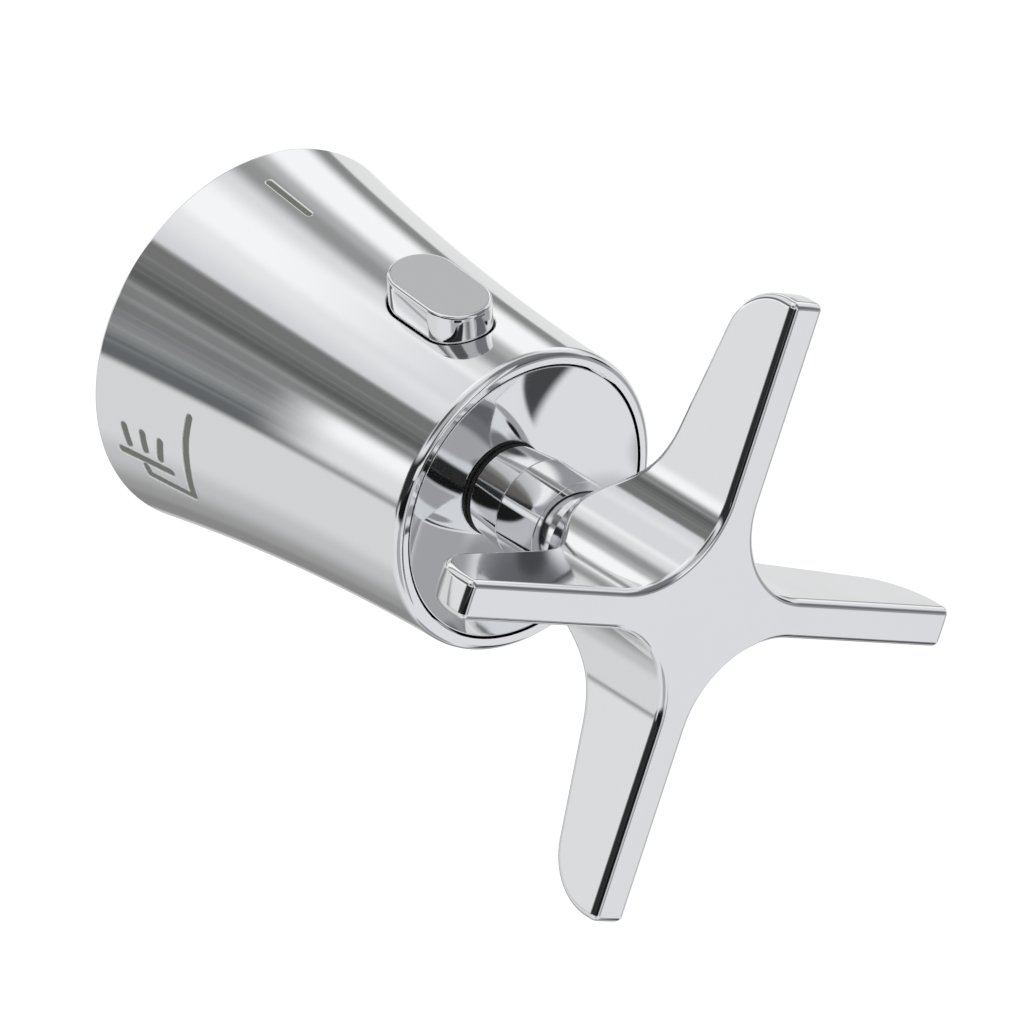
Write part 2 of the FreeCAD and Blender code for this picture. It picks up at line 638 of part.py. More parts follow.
def sleeve_cavity():
    """The room inside the sleeve: the dish's bore, the ledge, the body and the ring's seat."""
    body = new_body("sleeve_cavity")
    seat_front = "cross_to_lip + sleeve_length - glide_seat_depth"
    seat_bore = GLIDE_SEAT + " - glide_step"
    behind = REAR_RIM + " + sleeve_wall"
    before = "cross_to_lip - sleeve_wall"
    turned(body, "Revolution", [
        ("0", before), ("lip_bore_radius", before), ("lip_bore_radius", LEDGE_FRONT),
        ("ledge_inner_radius", LEDGE_FRONT), ("ledge_inner_radius", LEDGE_BACK),
        (CAVITY_FRONT_RADIUS, LEDGE_BACK), (seat_bore, seat_front),
        (GLIDE_SEAT, seat_front), (GLIDE_SEAT, behind), ("0", behind)],
        {5: ("sleeve_sweep_radius", 1)})
    return body


def cone_sleeve():
    """The trumpet-shaped sleeve: cast with a land round the button and three key ribs."""
    blank = new_body("sleeve_blank")
    turned(blank, "Revolution", [
        ("0", LIP), ("sleeve_front_radius", LIP), ("sleeve_rear_radius", REAR_RIM),
        ("0", REAR_RIM)], {1: ("sleeve_sweep_radius", 1)})
    rounded(blank, "lip_round", lambda edge: rim_at(edge, "sleeve_front_radius", LIP))
    rounded(blank, "rear_round", lambda edge: rim_at(edge, "sleeve_rear_radius", REAR_RIM))

    land = new_body("sleeve_land")
    prism(land, "Pad", "XY", LAND, "sleeve_front_radius + sleeve_wall", add_box_outline,
          "0", BUTTON, "land_width", "land_length", "guide_corner")
    ribs = new_body("sleeve_ribs")
    rib = prism(ribs, "Pad", "XY", "-(lip_bore_radius + sleeve_wall)", "-key_rib_radius",
                add_box_outline, "0", LEDGE_BACK + " + key_rib_length / 2", "key_rib_width",
                "key_rib_length")
    around(ribs, rib, "key_rib_count", True)

    slot = new_body("button_slot")
    prism(slot, "Pad", "XY", LAND + " - 2 * sleeve_wall", BUTTON_TOP + " + sleeve_wall",
          add_capsule, "0", BUTTON, SLOT_WIDTH, SLOT_LENGTH)
    access = new_body("grub_access")
    prism(access, "Pad", "XY", "-(sleeve_rear_radius + sleeve_wall)", "-grub_boss_reach",
          add_circle, "0", GRUB, "grub_access_radius")

    cavity = sleeve_cavity()
    kept = join("Part::MultiFuse", "sleeve_kept", Shapes=[land, ribs])
    room = join("Part::Cut", "sleeve_room", Base=cavity, Tool=kept)
    cuts = join("Part::MultiFuse", "sleeve_cuts", Shapes=[room, slot, access])
    return join("Part::Cut", "cone_sleeve", Base=blank, Tool=cuts)


def glide_ring():
    body = new_body("glide_ring")
    front = "cross_to_lip + sleeve_length - glide_seat_depth + joint_gap"
    back = front + " + glide_length"
    outer = GLIDE_SEAT + " - joint_gap"
    inner = outer + " - glide_wall"
    turned(body, "Revolution", [(inner, front), (outer, front), (outer, back), (inner, back)])
    return body


# The carrier and what turns the spindle


def carrier():
    """The moulded core: a disc behind the ledge and a hub that holds the spindle adapter."""
    body = new_body("carrier")
    well_end = ADAPTER_FRONT + " - joint_gap"
    turned(body, "Revolution", [
        (DISH_HOLE, CARRIER_FRONT), ("carrier_disc_radius", CARRIER_FRONT),
        ("carrier_disc_radius", DISC_BACK), ("carrier_neck_radius", DISC_BACK),
        ("carrier_neck_radius", NECK_END), ("carrier_hub_radius", NECK_END),
        ("carrier_hub_radius", FLANGE_FRONT), (FLANGE_RADIUS, FLANGE_FRONT),
        (FLANGE_RADIUS, FLANGE_BACK), ("carrier_hub_radius", FLANGE_BACK),
        ("carrier_hub_radius", CARRIER_BACK), ("adapter_radius + joint_gap", CARRIER_BACK),
        ("adapter_radius + joint_gap", well_end), ("carrier_well_radius", well_end),
        ("carrier_well_radius", WEB_BACK), (SCREW_HOLE, WEB_BACK),
        (SCREW_HOLE, CARRIER_FRONT + " + spigot_depth"),
        (DISH_HOLE, CARRIER_FRONT + " + spigot_depth")])
    prism(body, "Pocket", "XZ", CARRIER_FRONT + " + spigot_depth", SOCKET_FLOOR, add_hexagon,
          SOCKET_FLATS)
    # room for the guide of the button, in the disc
    prism(body, "Pocket", "XY", FLOOR_BOTTOM + " - joint_gap", "carrier_disc_radius",
          add_box_outline, "0", CARRIER_FRONT + " + carrier_disc_thickness / 2",
          "land_width + 2 * clearance", "2 * carrier_disc_thickness")
    # channel for the arm of the latch, in the front hub
    channel_front = BUTTON + " - latch_front - 2 * clearance"
    prism(body, "Pocket", "XY", LATCH_BOTTOM + " - button_travel - 2 * clearance",
          "carrier_neck_radius + clearance", add_box_outline, "0",
          "(%s + %s) / 2" % (channel_front, NECK_END), "latch_width + 4 * clearance",
          "%s - (%s)" % (NECK_END, channel_front))
    # slots for the key ribs of the sleeve
    slot = prism(body, "Pocket", "XY", "-(carrier_disc_radius + clearance)",
                 "-(key_rib_radius - clearance)", add_box_outline, "0",
                 CARRIER_FRONT + " + carrier_disc_thickness / 2",
                 "key_rib_width + 2 * clearance", "2 * carrier_disc_thickness")
    around(body, slot, "key_rib_count", False)
    # boss and hole of the grub screw
    prism(body, "Pad", "XY", "-grub_boss_reach", "-(adapter_radius + 2 * clearance)", add_circle,
          "0", GRUB, "grub_boss_radius")
    prism(body, "Pocket", "XY", "-(grub_boss_reach + clearance)", "-(adapter_radius / 2)",
          add_circle, "0", GRUB, GRUB_HOLE)
    for side in ("-", ""):
        prism(body, "Pocket", "XZ", DISC_BACK + " - small_screw_bite - clearance", DISC_BACK,
              add_circle, side + "small_screw_offset", SMALL_SCREW_HEIGHT,
              "small_screw_radius + joint_gap")
    return body


def spindle_adapter():
    """The brass socket for the valve spindle: a plain mouth, then the splines."""
    body = new_body("spindle_adapter")
    spline_front = ADAPTER_FRONT + " + adapter_lip_thickness"
    spline_back = MOUTH + " - pilot_length"
    turned(body, "Revolution", [
        ("adapter_lip_radius", ADAPTER_FRONT), ("adapter_radius", ADAPTER_FRONT),
        ("adapter_radius", MOUTH), ("pilot_radius", MOUTH), ("pilot_radius", spline_back),
        ("spline_tip_radius", spline_back), ("spline_tip_radius", spline_front),
        ("adapter_lip_radius", spline_front)])
    groove = prism(body, "Pocket", "XZ", spline_front, spline_back, add_outline, [
        ("spline_width / 2", "spline_tip_radius - spline_width / 2"),
        ("0", "spline_root_radius"),
        ("-spline_width / 2", "spline_tip_radius - spline_width / 2")])
    around(body, groove, "spline_count", False)
    prism(body, "Pocket", "XY", "-(adapter_radius + clearance)", "-(spline_tip_radius / 2)",
          add_circle, "0", GRUB, GRUB_HOLE)
    return body


def grub_screw():
    """The screw in the underside that holds the handle on the spindle."""
    body = new_body("grub_screw")
    end = "-(grub_seat + grub_length)"
    prism(body, "Pad", "XY", end, "-grub_seat", add_circle, "0", GRUB, "grub_diameter / 2")
    prism(body, "Pocket", "XY", end, end + " + key_depth", add_hexagon, "grub_diameter / 2", "0",
          GRUB)
    return body


def stop_ring():
    """The ring whose lug runs against the latch until the button is pressed."""
    body = new_body("stop_ring")
    bore = "carrier_hub_radius + clearance"
    back = STOP_FRONT + " + stop_ring_width"
    turned(body, "Revolution", [(bore, STOP_FRONT), (STOP_RADIUS, STOP_FRONT),
                                (STOP_RADIUS, back), (bore, back)])
    prism(body, "Pad", "XZ", STOP_FRONT + " - stop_lug_length", back, add_box_outline, "0",
          "carrier_hub_radius + (stop_lug_height + 3 * clearance) / 2", "stop_lug_width",
          "stop_lug_height - 3 * clearance")
    turn_about_axis(body, "stop_lug_angle")
    return body


def stop_ring_clip():
    """A spring clip, open at the top, that keeps the stop ring on the hub."""
    body = new_body("stop_ring_clip")
    bore = "carrier_hub_radius + joint_gap"
    front = NECK_END + " + 6 * joint_gap"
    back = front + " + clip_thickness"
    turned(body, "Revolution", [(bore, front), (CLIP_RADIUS, front), (CLIP_RADIUS, back),
                                (bore, back)])
    prism(body, "Pocket", "XY", "0", CLIP_RADIUS + " + clearance", add_box_outline, "0",
          NECK_END, "clip_mouth", "8 * clip_thickness")
    return body


# The button and what it works


def button_cap():
    """The hollow oblong button, with side flanges that stop it under the sleeve."""
    body = new_body("button_cap")
    prism(body, "Pad", "XY", FLANGE_BOTTOM, BUTTON_TOP + " + button_wall + button_edge_round",
          add_capsule, "0", BUTTON, "button_width", "button_length")
    rise = "button_slope * button_length"
    front, back = BUTTON + " - button_length", BUTTON + " + button_length"
    prism(body, "Pocket", "YZ", "-button_width", "button_width", add_outline, [
        (front, BUTTON_TOP + " - " + rise), (back, BUTTON_TOP + " + " + rise),
        (back, BUTTON_TOP + " + button_length"), (front, BUTTON_TOP + " + button_length")])
    lowest = value(BUTTON_TOP + " - %s - button_edge_round / 4" % rise)
    rounded(body, "button_edge_round", lambda edge: edge.BoundBox.ZMin > lowest)
    prism(body, "Pad", "XY", FLANGE_BOTTOM, FLANGE_TOP, add_box_outline, "0", BUTTON,
          "flange_width", "flange_length")
    prism(body, "Pocket", "XY", FLANGE_BOTTOM, CEILING, add_capsule, "0", BUTTON,
          "(button_width - 2 * button_wall)", "(button_length - 2 * button_wall)")
    prism(body, "Pad", "XY", CEILING + " - pin_boss_length", CEILING + " + clearance",
          add_circle, "0", BUTTON, "pin_radius + pin_boss_wall")
    prism(body, "Pocket", "XY", CEILING + " - pin_boss_length", CEILING, add_circle,
          "0", BUTTON, "pin_radius + joint_gap")
    return body


def button_latch():
    """The pin under the button and the arm that stands in the way of the stop ring's lug."""
    body = new_body("button_latch")
    front, tip = BUTTON + " - latch_front", NECK_END + " - latch_tip_gap"
    prism(body, "Pad", "XY", LATCH_BOTTOM, LATCH_TOP, add_box_outline, "0",
          "(%s + %s) / 2" % (front, tip), "latch_width", "%s - (%s)" % (tip, front))
    prism(body, "Pad", "XY", LATCH_BOTTOM, CEILING + " - joint_gap", add_circle, "0", BUTTON,
          "pin_radius")
    return body


def latch_clip():
    """The small clip on the pin that stops the latch under the guide."""
    body = new_body("latch_clip")
    bottom = CLIP_TOP + " - pin_clip_thickness"
    prism(body, "Pad", "XY", bottom, CLIP_TOP, add_circle, "0", BUTTON, "pin_clip_radius")
    prism(body, "Pocket", "XY", bottom, CLIP_TOP, add_circle, "0", BUTTON,
          "pin_radius + joint_gap")
    prism(body, "Pocket", "XY", bottom, CLIP_TOP, add_box_outline, "0",
          BUTTON + " + pin_clip_radius", "pin_clip_mouth", "2 * pin_clip_radius")
    return body


def button_guide():
    """The tray that guides the button and holds its spring, with a tab for two screws."""
    body = new_body("button_guide")
    prism(body, "Pad", "XY", FLOOR_BOTTOM, FLANGE_TOP, add_box_outline, "0", BUTTON,
          "guide_width", "guide_length", "guide_corner")
    prism(body, "Pocket", "XY", FLOOR_TOP, FLANGE_TOP, add_box_outline, "0", BUTTON,
          "flange_width + 4 * clearance", "button_length + 4 * clearance", "guide_corner / 2")
    prism(body, "Pocket", "XY", FLOOR_BOTTOM, FLOOR_TOP, add_circle, "0", BUTTON,
          "pin_radius + clearance")
    prism(body, "Pad", "XY", FLOOR_BOTTOM + " - tab_drop", FLOOR_BOTTOM + " + joint_gap",
          add_box_outline, "0", "(%s + %s) / 2" % (TAB_FRONT, TAB_BACK), "tab_width",
          "tab_thickness")
    for side in ("-", ""):
        prism(body, "Pocket", "XZ", TAB_FRONT, TAB_BACK, add_circle, side + "small_screw_offset",
              SMALL_SCREW_HEIGHT, "small_screw_radius + clearance")
    return body


def button_seal():
    """The flat rubber frame between the guide and the land inside the sleeve."""
    body = new_body("button_seal")
    prism(body, "Pad", "XY", SEAL_BOTTOM, SEAL_TOP, add_box_outline, "0", BUTTON, "seal_width",
          "seal_length", "guide_corner")
    prism(body, "Pocket", "XY", SEAL_BOTTOM, SEAL_TOP, add_capsule, "0", BUTTON, SLOT_WIDTH,
          SLOT_LENGTH)
    return body


def button_spring():
    """The return spring, round the pin, from the floor of the guide to the button."""
    height = CEILING + " - %s - 2 * spring_wire_radius - 2 * joint_gap" % FLOOR_TOP
    line = doc.addObject("Part::Helix", "spring_line")
    bind(line, "Radius", "spring_coil_radius")
    bind(line, "Height", height)
    bind(line, "Pitch", "(%s) / spring_coils" % height)
    wire = doc.addObject("Part::Circle", "spring_wire")
    wire.Placement.Rotation = FreeCAD.Rotation(FreeCAD.Vector(1, 0, 0), 90)
    bind(wire, "Radius", "spring_wire_radius")
    bind(wire, "Placement.Base.x", "spring_coil_radius")
    doc.recompute()
    coil = doc.addObject("Part::Sweep", "button_spring")
    coil.Label = "button_spring"
    coil.Sections = [wire]
    coil.Spine = (line, ["Edge%d" % (i + 1) for i in range(len(line.Shape.Edges))])
    coil.Solid = True
    coil.Frenet = True
    bind(coil, "Placement.Base.y", "%s - (%s)" % (BUTTON, MOUTH))
    bind(coil, "Placement.Base.z", FLOOR_TOP + " + spring_wire_radius + joint_gap")
    return coil


def guide_screws():
    """Two equal screws that hold the tab of the guide to the disc of the carrier."""
    screw = new_body("guide_screw")
    centre = ("small_screw_offset", SMALL_SCREW_HEIGHT)
    prism(screw, "Pad", "XZ", DISC_BACK + " - small_screw_bite", TAB_BACK + " + joint_gap",
          add_circle, centre[0], centre[1], "small_screw_radius")
    prism(screw, "Pad", "XZ", TAB_BACK + " + joint_gap",
          TAB_BACK + " + joint_gap + small_screw_head_length", add_circle, centre[0], centre[1],
          "small_screw_head_radius")
    other = doc.addObject("Part::Mirroring", "guide_screw_other")
    other.Source = screw
    other.Normal = FreeCAD.Vector(1, 0, 0)
    return join("Part::Compound", "guide_screws", Links=[screw, other])


PIECES = [cone_sleeve, front_dish, dish_seal, cross_handle, collar_ring, stem_tube, stem_foot,
          stem_o_ring, drive_shaft, cross_screw, lock_washer, carrier, spindle_adapter, grub_screw,
          stop_ring, stop_ring_clip, glide_ring, button_cap, button_latch, latch_clip,
          button_guide, button_seal, button_spring, guide_screws]
finished = [build() for build in PIECES]
doc.recompute()

for thing in doc.Objects:
    if "Invalid" in thing.State or "Error" in thing.State:
        raise RuntimeError("%s did not build: %s" % (thing.Name, thing.State))
for piece in finished:
    if piece.Shape.isNull() or not piece.Shape.isValid() or not piece.Shape.Solids:
        raise RuntimeError(piece.Label + " has no valid solid")
os.makedirs("parts", exist_ok=True)
for piece in finished:
    piece.Shape.exportStep("parts/" + piece.Label + ".step")
    print("%-16s %9.1f mm3  %d solid(s)" % (piece.Label, piece.Shape.Volume,
                                           len(piece.Shape.Solids)))
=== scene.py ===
# %% [markdown]
# A chromed cross handle
#
# This script dresses a cross handle of a shower mixer: a trumpet-shaped sleeve with a push
# button, a polished dish in its mouth, a short stem and a four-armed cross. The solids come from
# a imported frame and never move. Chrome is a mirror, so every facet of a solid would show as a
# broken reflection. That is why the bright pieces are built again here as fine surfaces, each
# with the exact direction of the surface at every corner, while the pieces inside keep their
# solids and only get a finish.

# %% The frame
import json
import math

import bmesh
import bpy
import numpy as np
from mathutils import Matrix, Vector

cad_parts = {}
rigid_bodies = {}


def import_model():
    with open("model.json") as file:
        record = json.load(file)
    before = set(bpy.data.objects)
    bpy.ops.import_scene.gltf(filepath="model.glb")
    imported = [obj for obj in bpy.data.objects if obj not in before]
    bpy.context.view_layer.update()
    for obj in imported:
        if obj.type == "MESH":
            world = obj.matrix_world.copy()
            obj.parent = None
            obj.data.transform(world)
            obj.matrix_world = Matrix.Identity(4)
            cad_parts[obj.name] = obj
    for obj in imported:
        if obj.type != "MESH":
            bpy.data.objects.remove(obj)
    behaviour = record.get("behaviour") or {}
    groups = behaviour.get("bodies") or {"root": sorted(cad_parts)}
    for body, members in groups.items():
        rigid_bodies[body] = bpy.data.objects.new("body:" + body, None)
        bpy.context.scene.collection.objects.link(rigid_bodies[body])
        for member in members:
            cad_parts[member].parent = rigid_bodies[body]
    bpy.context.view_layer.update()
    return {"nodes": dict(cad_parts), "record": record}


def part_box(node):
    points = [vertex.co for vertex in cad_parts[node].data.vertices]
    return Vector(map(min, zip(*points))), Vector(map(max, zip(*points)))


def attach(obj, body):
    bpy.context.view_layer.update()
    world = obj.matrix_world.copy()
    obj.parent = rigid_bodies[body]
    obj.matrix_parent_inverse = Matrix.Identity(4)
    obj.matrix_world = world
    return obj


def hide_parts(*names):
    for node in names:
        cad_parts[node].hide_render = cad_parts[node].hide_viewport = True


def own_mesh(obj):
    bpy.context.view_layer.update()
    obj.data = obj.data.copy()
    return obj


for leftover in list(bpy.data.objects):
    bpy.data.objects.remove(leftover)
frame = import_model()
nodes = frame["nodes"]
MM = 0.001

# %% [markdown]
# Places on the axis
#
# The axis of the handle is Y, and the mouth of the spindle bore is the origin. Depths are easier
# to think of from the lip of the sleeve or from the front of the cross, so both places are read
# from the frame. Everything below is in millimetres until a mesh is made.

# %% Places read from the frame
LIP = round(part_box("cone_sleeve")[0].y / MM, 3)
REAR = round(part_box("cone_sleeve")[1].y / MM, 3)
CROSS_FRONT = round(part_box("cross_handle")[0].y / MM, 3)
HUB_END = round(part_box("cross_handle")[1].y / MM, 3)
print("lip", LIP, "rear rim", REAR, "cross from", CROSS_FRONT, "to", HUB_END)

# %% [markdown]
# Surfaces as arrays
#
# A surface can be pushed about by hand, cut with booleans or worked out as numbers. Mirrors want
# the last way: a grid of points and, beside it, a grid of directions. A part of a piece is a
# dictionary with points, directions, corners and the number of corners of each face. Parts are
# welded into one mesh, and the directions become its custom normals, so that a coarse cell still
# reflects like the true curve.

# %% Directions and grids
def unit(vectors):
    """The vectors divided by their lengths."""
    return vectors / np.linalg.norm(vectors, axis=-1, keepdims=True)


def swing_between(first, second, steps):
    """Rows of directions that swing evenly from n to m: with the angle s between them, each is
    (sin((1 - t) s) n + sin(t s) m) / sin s for t from 0 to 1."""
    angle = np.arccos(np.clip(np.sum(first * second, -1, keepdims=True), -1, 1))
    share = np.linspace(0, 1, steps).reshape((-1,) + (1,) * first.ndim)
    return (np.sin((1 - share) * angle) * first + np.sin(share * angle) * second) / np.sin(angle)


def between(low, high, step):
    """Evenly spaced values from low up to, but not including, high."""
    count = max(1, round(abs(high - low) / step))
    return low + (high - low) * np.arange(count) / count


def facing(part):
    """Turns all faces of a part over if most of them look against its directions."""
    corners, sizes = part["corners"], part["sizes"]
    starts = np.cumsum(sizes) - sizes
    a, b, c = (part["points"][corners[starts + k]] for k in range(3))
    flow = np.cross(b - a, c - a)
    if sizes[0] == 4:
        flow = flow + np.cross(c - a, part["points"][corners[starts + 3]] - a)
    if np.sum(flow * part["ways"][corners[starts]]) < 0:
        part["corners"] = corners[::-1].copy()
        part["sizes"] = sizes[::-1].copy()
    return part


def grid(points, ways, around=False, along=False, keep=None):
    """Quads between neighbouring points of a rows x columns array; around joins the last column
    to the first, along joins the last row to the first, keep is a mask of the quads."""
    rows, columns = points.shape[:2]
    number = np.arange(rows * columns).reshape(rows, columns)
    number = number[np.arange(rows + along) % rows][:, np.arange(columns + around) % columns]
    quads = np.stack([number[:-1, :-1], number[:-1, 1:], number[1:, 1:], number[1:, :-1]], -1)
    quads = quads[keep] if keep is not None else quads.reshape(-1, 4)
    return facing({"points": points.reshape(-1, 3), "ways": ways.reshape(-1, 3),
                   "corners": quads.ravel(), "sizes": np.full(len(quads), 4)})


# %% [markdown]
# Flat faces and seams
#
# A flat front needs no grid: one face with many corners mirrors like a pane. Where two surfaces
# with different numbers of points meet, a strip of triangles closes the seam like a zip, so no
# mesh has to be made to fit the other.

# %% Flat faces and zipped rings
def flat_face(points, way, finish=0):
    """One flat face with many corners, all looking the same way."""
    corners = np.arange(len(points))
    turn = np.sum(np.cross(points, np.roll(points, -1, axis=0)), axis=0)
    return {"points": points, "ways": np.broadcast_to(way, points.shape),
            "corners": corners[::-1] if turn @ np.asarray(way) < 0 else corners,
            "sizes": np.array([len(points)]), "finish": finish}


def zipped(first, second, first_ways, second_ways, first_turn, second_turn):
    """Triangles between two closed rings with different numbers of points. Edges are taken in
    the order of the turn at their middles: an edge of one ring gets as its tip the point that
    the other ring has reached by then."""
    order, other = np.argsort(first_turn), np.argsort(second_turn)
    a, b = first_turn[order], second_turn[other]
    full = 2 * math.pi
    mid_a = (a + np.append(a[1:], a[0] + full)) / 2
    mid_b = (b + np.append(b[1:], b[0] + full)) / 2
    tip_a = np.searchsorted(mid_b, mid_a) % len(b)
    tip_b = np.searchsorted(mid_a, mid_b) % len(a)
    triangles = np.concatenate([
        np.stack([order, np.roll(order, -1), len(a) + other[tip_a]], 1),
        np.stack([len(a) + np.roll(other, -1), len(a) + other, order[tip_b]], 1)])
    return facing({"points": np.concatenate([first, second]),
                   "ways": np.concatenate([first_ways, second_ways]),
                   "corners": triangles.ravel(), "sizes": np.full(len(triangles), 3)})


# %% [markdown]
# From parts to a piece
#
# Blender recalculates its normals whenever a mesh changes, so the exact directions wait in an
# attribute of the corners while doubled points are joined, and are set as custom normals at the
# end. A piece that stands for a solid takes over its body, and the solid is hidden.

# %% Welding and making a piece
WELD = 5e-7


def read(group, field, width=3, kind=float):
    """A field of all elements of a mesh, one row for each element."""
    flat = np.zeros(len(group) * width, kind)
    group.foreach_get(field, flat)
    return flat.reshape(-1, width)


def weld(mesh, split=False):
    """Joins doubled points and says how many edges stay open; split also drops faces without
    an area and cuts the others into triangles."""
    shell = bmesh.new()
    shell.from_mesh(mesh)
    bmesh.ops.remove_doubles(shell, verts=shell.verts, dist=WELD)
    if split:
        bmesh.ops.dissolve_degenerate(shell, edges=shell.edges, dist=WELD)
        bmesh.ops.triangulate(shell, faces=shell.faces)
    open_edges = sum(edge.is_boundary for edge in shell.edges)
    shell.to_mesh(mesh)
    shell.free()
    mesh.polygons.foreach_set("use_smooth", np.ones(len(mesh.polygons), bool))
    return open_edges


def joined_mesh(name, parts):
    """Mesh in metres with the faces of all parts, and the direction at each corner in the
    attribute way."""
    offsets = np.cumsum([0] + [len(part["points"]) for part in parts[:-1]])
    points = np.concatenate([part["points"] for part in parts]) * MM
    corners = np.concatenate([part["corners"] + at for part, at in zip(parts, offsets)])
    sizes = np.concatenate([part["sizes"] for part in parts])
    ways = np.concatenate([part["ways"] for part in parts])[corners]
    finish = np.repeat([part.get("finish", 0) for part in parts],
                       [len(part["sizes"]) for part in parts])
    mesh = bpy.data.meshes.new(name)
    mesh.vertices.add(len(points))
    mesh.vertices.foreach_set("co", points.astype(np.float32).ravel())
    mesh.loops.add(len(corners))
    mesh.loops.foreach_set("vertex_index", corners.astype(np.int32))
    mesh.polygons.add(len(sizes))
    mesh.polygons.foreach_set("loop_start", (np.cumsum(sizes) - sizes).astype(np.int32))
    mesh.polygons.foreach_set("material_index", finish.astype(np.int32))
    mesh.update(calc_edges=True)
    way = mesh.attributes.new("way", "FLOAT_VECTOR", "CORNER")
    way.data.foreach_set("vector", unit(ways).astype(np.float32).ravel())
    return mesh


def make_piece(name, parts, finishes, body, replaced, marks=None):
    """Welds the parts into one mesh, gives it the exact normals and lets it ride on its body.
    Marks are the name of an attribute and its values at the first points."""
    mesh = joined_mesh(name, parts)
    if marks is not None:
        mark = mesh.attributes.new(marks[0], "FLOAT", "POINT")
        padded = np.zeros(len(mesh.vertices), np.float32)
        padded[:len(marks[1])] = marks[1]
        mark.data.foreach_set("value", padded)
    open_edges = weld(mesh)
    ways = read(mesh.attributes["way"].data, "vector")
    mesh.attributes.remove(mesh.attributes["way"])
    mesh.normals_split_custom_set(ways.tolist())
    for finish in finishes:
        mesh.materials.append(finish)
    piece = bpy.data.objects.new(name, mesh)
    bpy.context.scene.collection.objects.link(piece)
    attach(piece, body)
    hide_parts(replaced)
    triangles = len(mesh.loops) - 2 * len(mesh.polygons)
    print(name, triangles, "triangles,", open_edges, "open edges")
    return piece


# %% [markdown]
# Solids as a lining
#
# Some insides, such as the land round the button slot or a hexagon socket, have no reason to be
# worked out again. A copy of the solid's mesh is welded, its outer faces are left away, and the
# fine skin is zipped to the edge that is left. The solid itself stays as it is.

# %% Welded copies of the solids
CREASE = 35.0


def lining(node):
    """Vertices, triangles, middles, face normals and corner normals of a welded copy."""
    source = nodes[node].data
    corners = read(source.loops, "vertex_index", 1, np.int32)
    mesh = bpy.data.meshes.new(node + "_copy")
    mesh.from_pydata(read(source.vertices, "co"), [], corners.reshape(-1, 3))
    weld(mesh, split=True)
    mesh.set_sharp_from_angle(angle=math.radians(CREASE))
    copy = {"points": read(mesh.vertices, "co") / MM,
            "middles": read(mesh.polygons, "center") / MM,
            "faces": read(mesh.polygons, "normal"),
            "ways": read(mesh.corner_normals, "vector").reshape(-1, 3, 3),
            "triangles": read(mesh.loops, "vertex_index", 1, np.int32).reshape(-1, 3)}
    bpy.data.meshes.remove(mesh)
    return copy


def lining_part(copy, keep):
    """The kept triangles of a welded copy, each corner with its own direction."""
    triangles = copy["triangles"][keep]
    return {"points": copy["points"][triangles.ravel()],
            "ways": copy["ways"][keep].reshape(-1, 3),
            "corners": np.arange(triangles.size), "sizes": np.full(len(triangles), 3)}


def open_edge(copy, keep):
    """Numbers of the vertices on the edge where the left-away faces were."""
    triangles = copy["triangles"][keep]
    sides = np.sort(np.concatenate([triangles[:, [0, 1]], triangles[:, [1, 2]],
                                    triangles[:, [2, 0]]]), axis=1)
    sides, count = np.unique(sides, axis=0, return_counts=True)
    return np.unique(sides[count == 1])


# %% [markdown]
# Turned pieces
#
# A lathe makes the dish and the rings of the stem. Their section is a closed outline in radius
# and depth whose corners are rounded, as a buffing wheel rounds them, and the outline is carried
# round the axis.

# %% Rounded sections and turning
SECTION_STEPS = 5
SECTION_SPACING = 1.2
AXIS = np.array([0.0, 1.0, 0.0])


def rounded_section(corners):
    """Points and directions along a closed outline of (radius, depth, rounding). At each corner
    the arc's centre lies at corner - rounding (n + m) / (1 + n.m) for the outward directions n
    and m of the two sides, and the arc's direction swings evenly from n to m."""
    spots = np.array([corner[:2] for corner in corners], float)
    rounds = np.array([corner[2] for corner in corners], float)
    side = unit(np.roll(spots, -1, axis=0) - spots)
    area = np.sum(spots[:, 0] * np.roll(spots[:, 1], -1) - np.roll(spots[:, 0], -1) * spots[:, 1])
    out = np.stack([side[:, 1], -side[:, 0]], 1) * np.sign(area)
    before = np.roll(out, 1, axis=0)
    turn = np.sign(np.cross(np.roll(side, 1, axis=0), side) * area)
    bend = (rounds * turn)[:, None]
    centre = spots - bend * (before + out) / (1 + np.sum(before * out, 1))[:, None]
    ways = swing_between(before, out, SECTION_STEPS)
    points = centre + bend * ways
    places, directions = [], []
    for k in range(len(spots)):
        far = points[0, (k + 1) % len(spots)] - points[-1, k]
        count = max(1, round(np.linalg.norm(far) / SECTION_SPACING))
        along = np.arange(1, count)[:, None] / count
        places += [points[:, k], points[-1, k] + far * along]
        directions += [ways[:, k], np.repeat(out[k][None], count - 1, axis=0)]
    return np.concatenate(places), np.concatenate(directions)


def turned(places, directions, steps=192):
    """The closed section (radius r, depth d from the lip) carried round the axis: at the angle a
    a point lies at (-r sin a, lip + d, r cos a)."""
    angle = np.arange(steps) * 2 * math.pi / steps
    ring = np.stack([-np.sin(angle), 0 * angle, np.cos(angle)], -1)
    points = places[:, None, :1] * ring + (places[:, None, 1:] + LIP) * AXIS
    ways = directions[:, None, :1] * ring + directions[:, None, 1:] * AXIS
    return grid(points, ways, around=True, along=True)


# %% [markdown]
# Colours and nodes
#
# A colour is written as it looks on a screen, and one function turns it to the linear value that
# light is added up in. One more function adds a node with its settings and links. A Mix node has
# sockets of the same name for each kind of value, so they go by number: 0 is the share, 2 and 3
# are two values, and 6 and 7 are two colours. Object coordinates are the place in metres, the
# same for each piece.

# %% Colour and node helpers
def colour(code):
    """Linear red, green, blue and one for an sRGB hex code."""
    screen = np.array([int(code[k:k + 2], 16) for k in (1, 3, 5)]) / 255
    light = np.where(screen <= 0.04045, screen / 12.92, ((screen + 0.055) / 1.055) ** 2.4)
    return (*light.tolist(), 1.0)


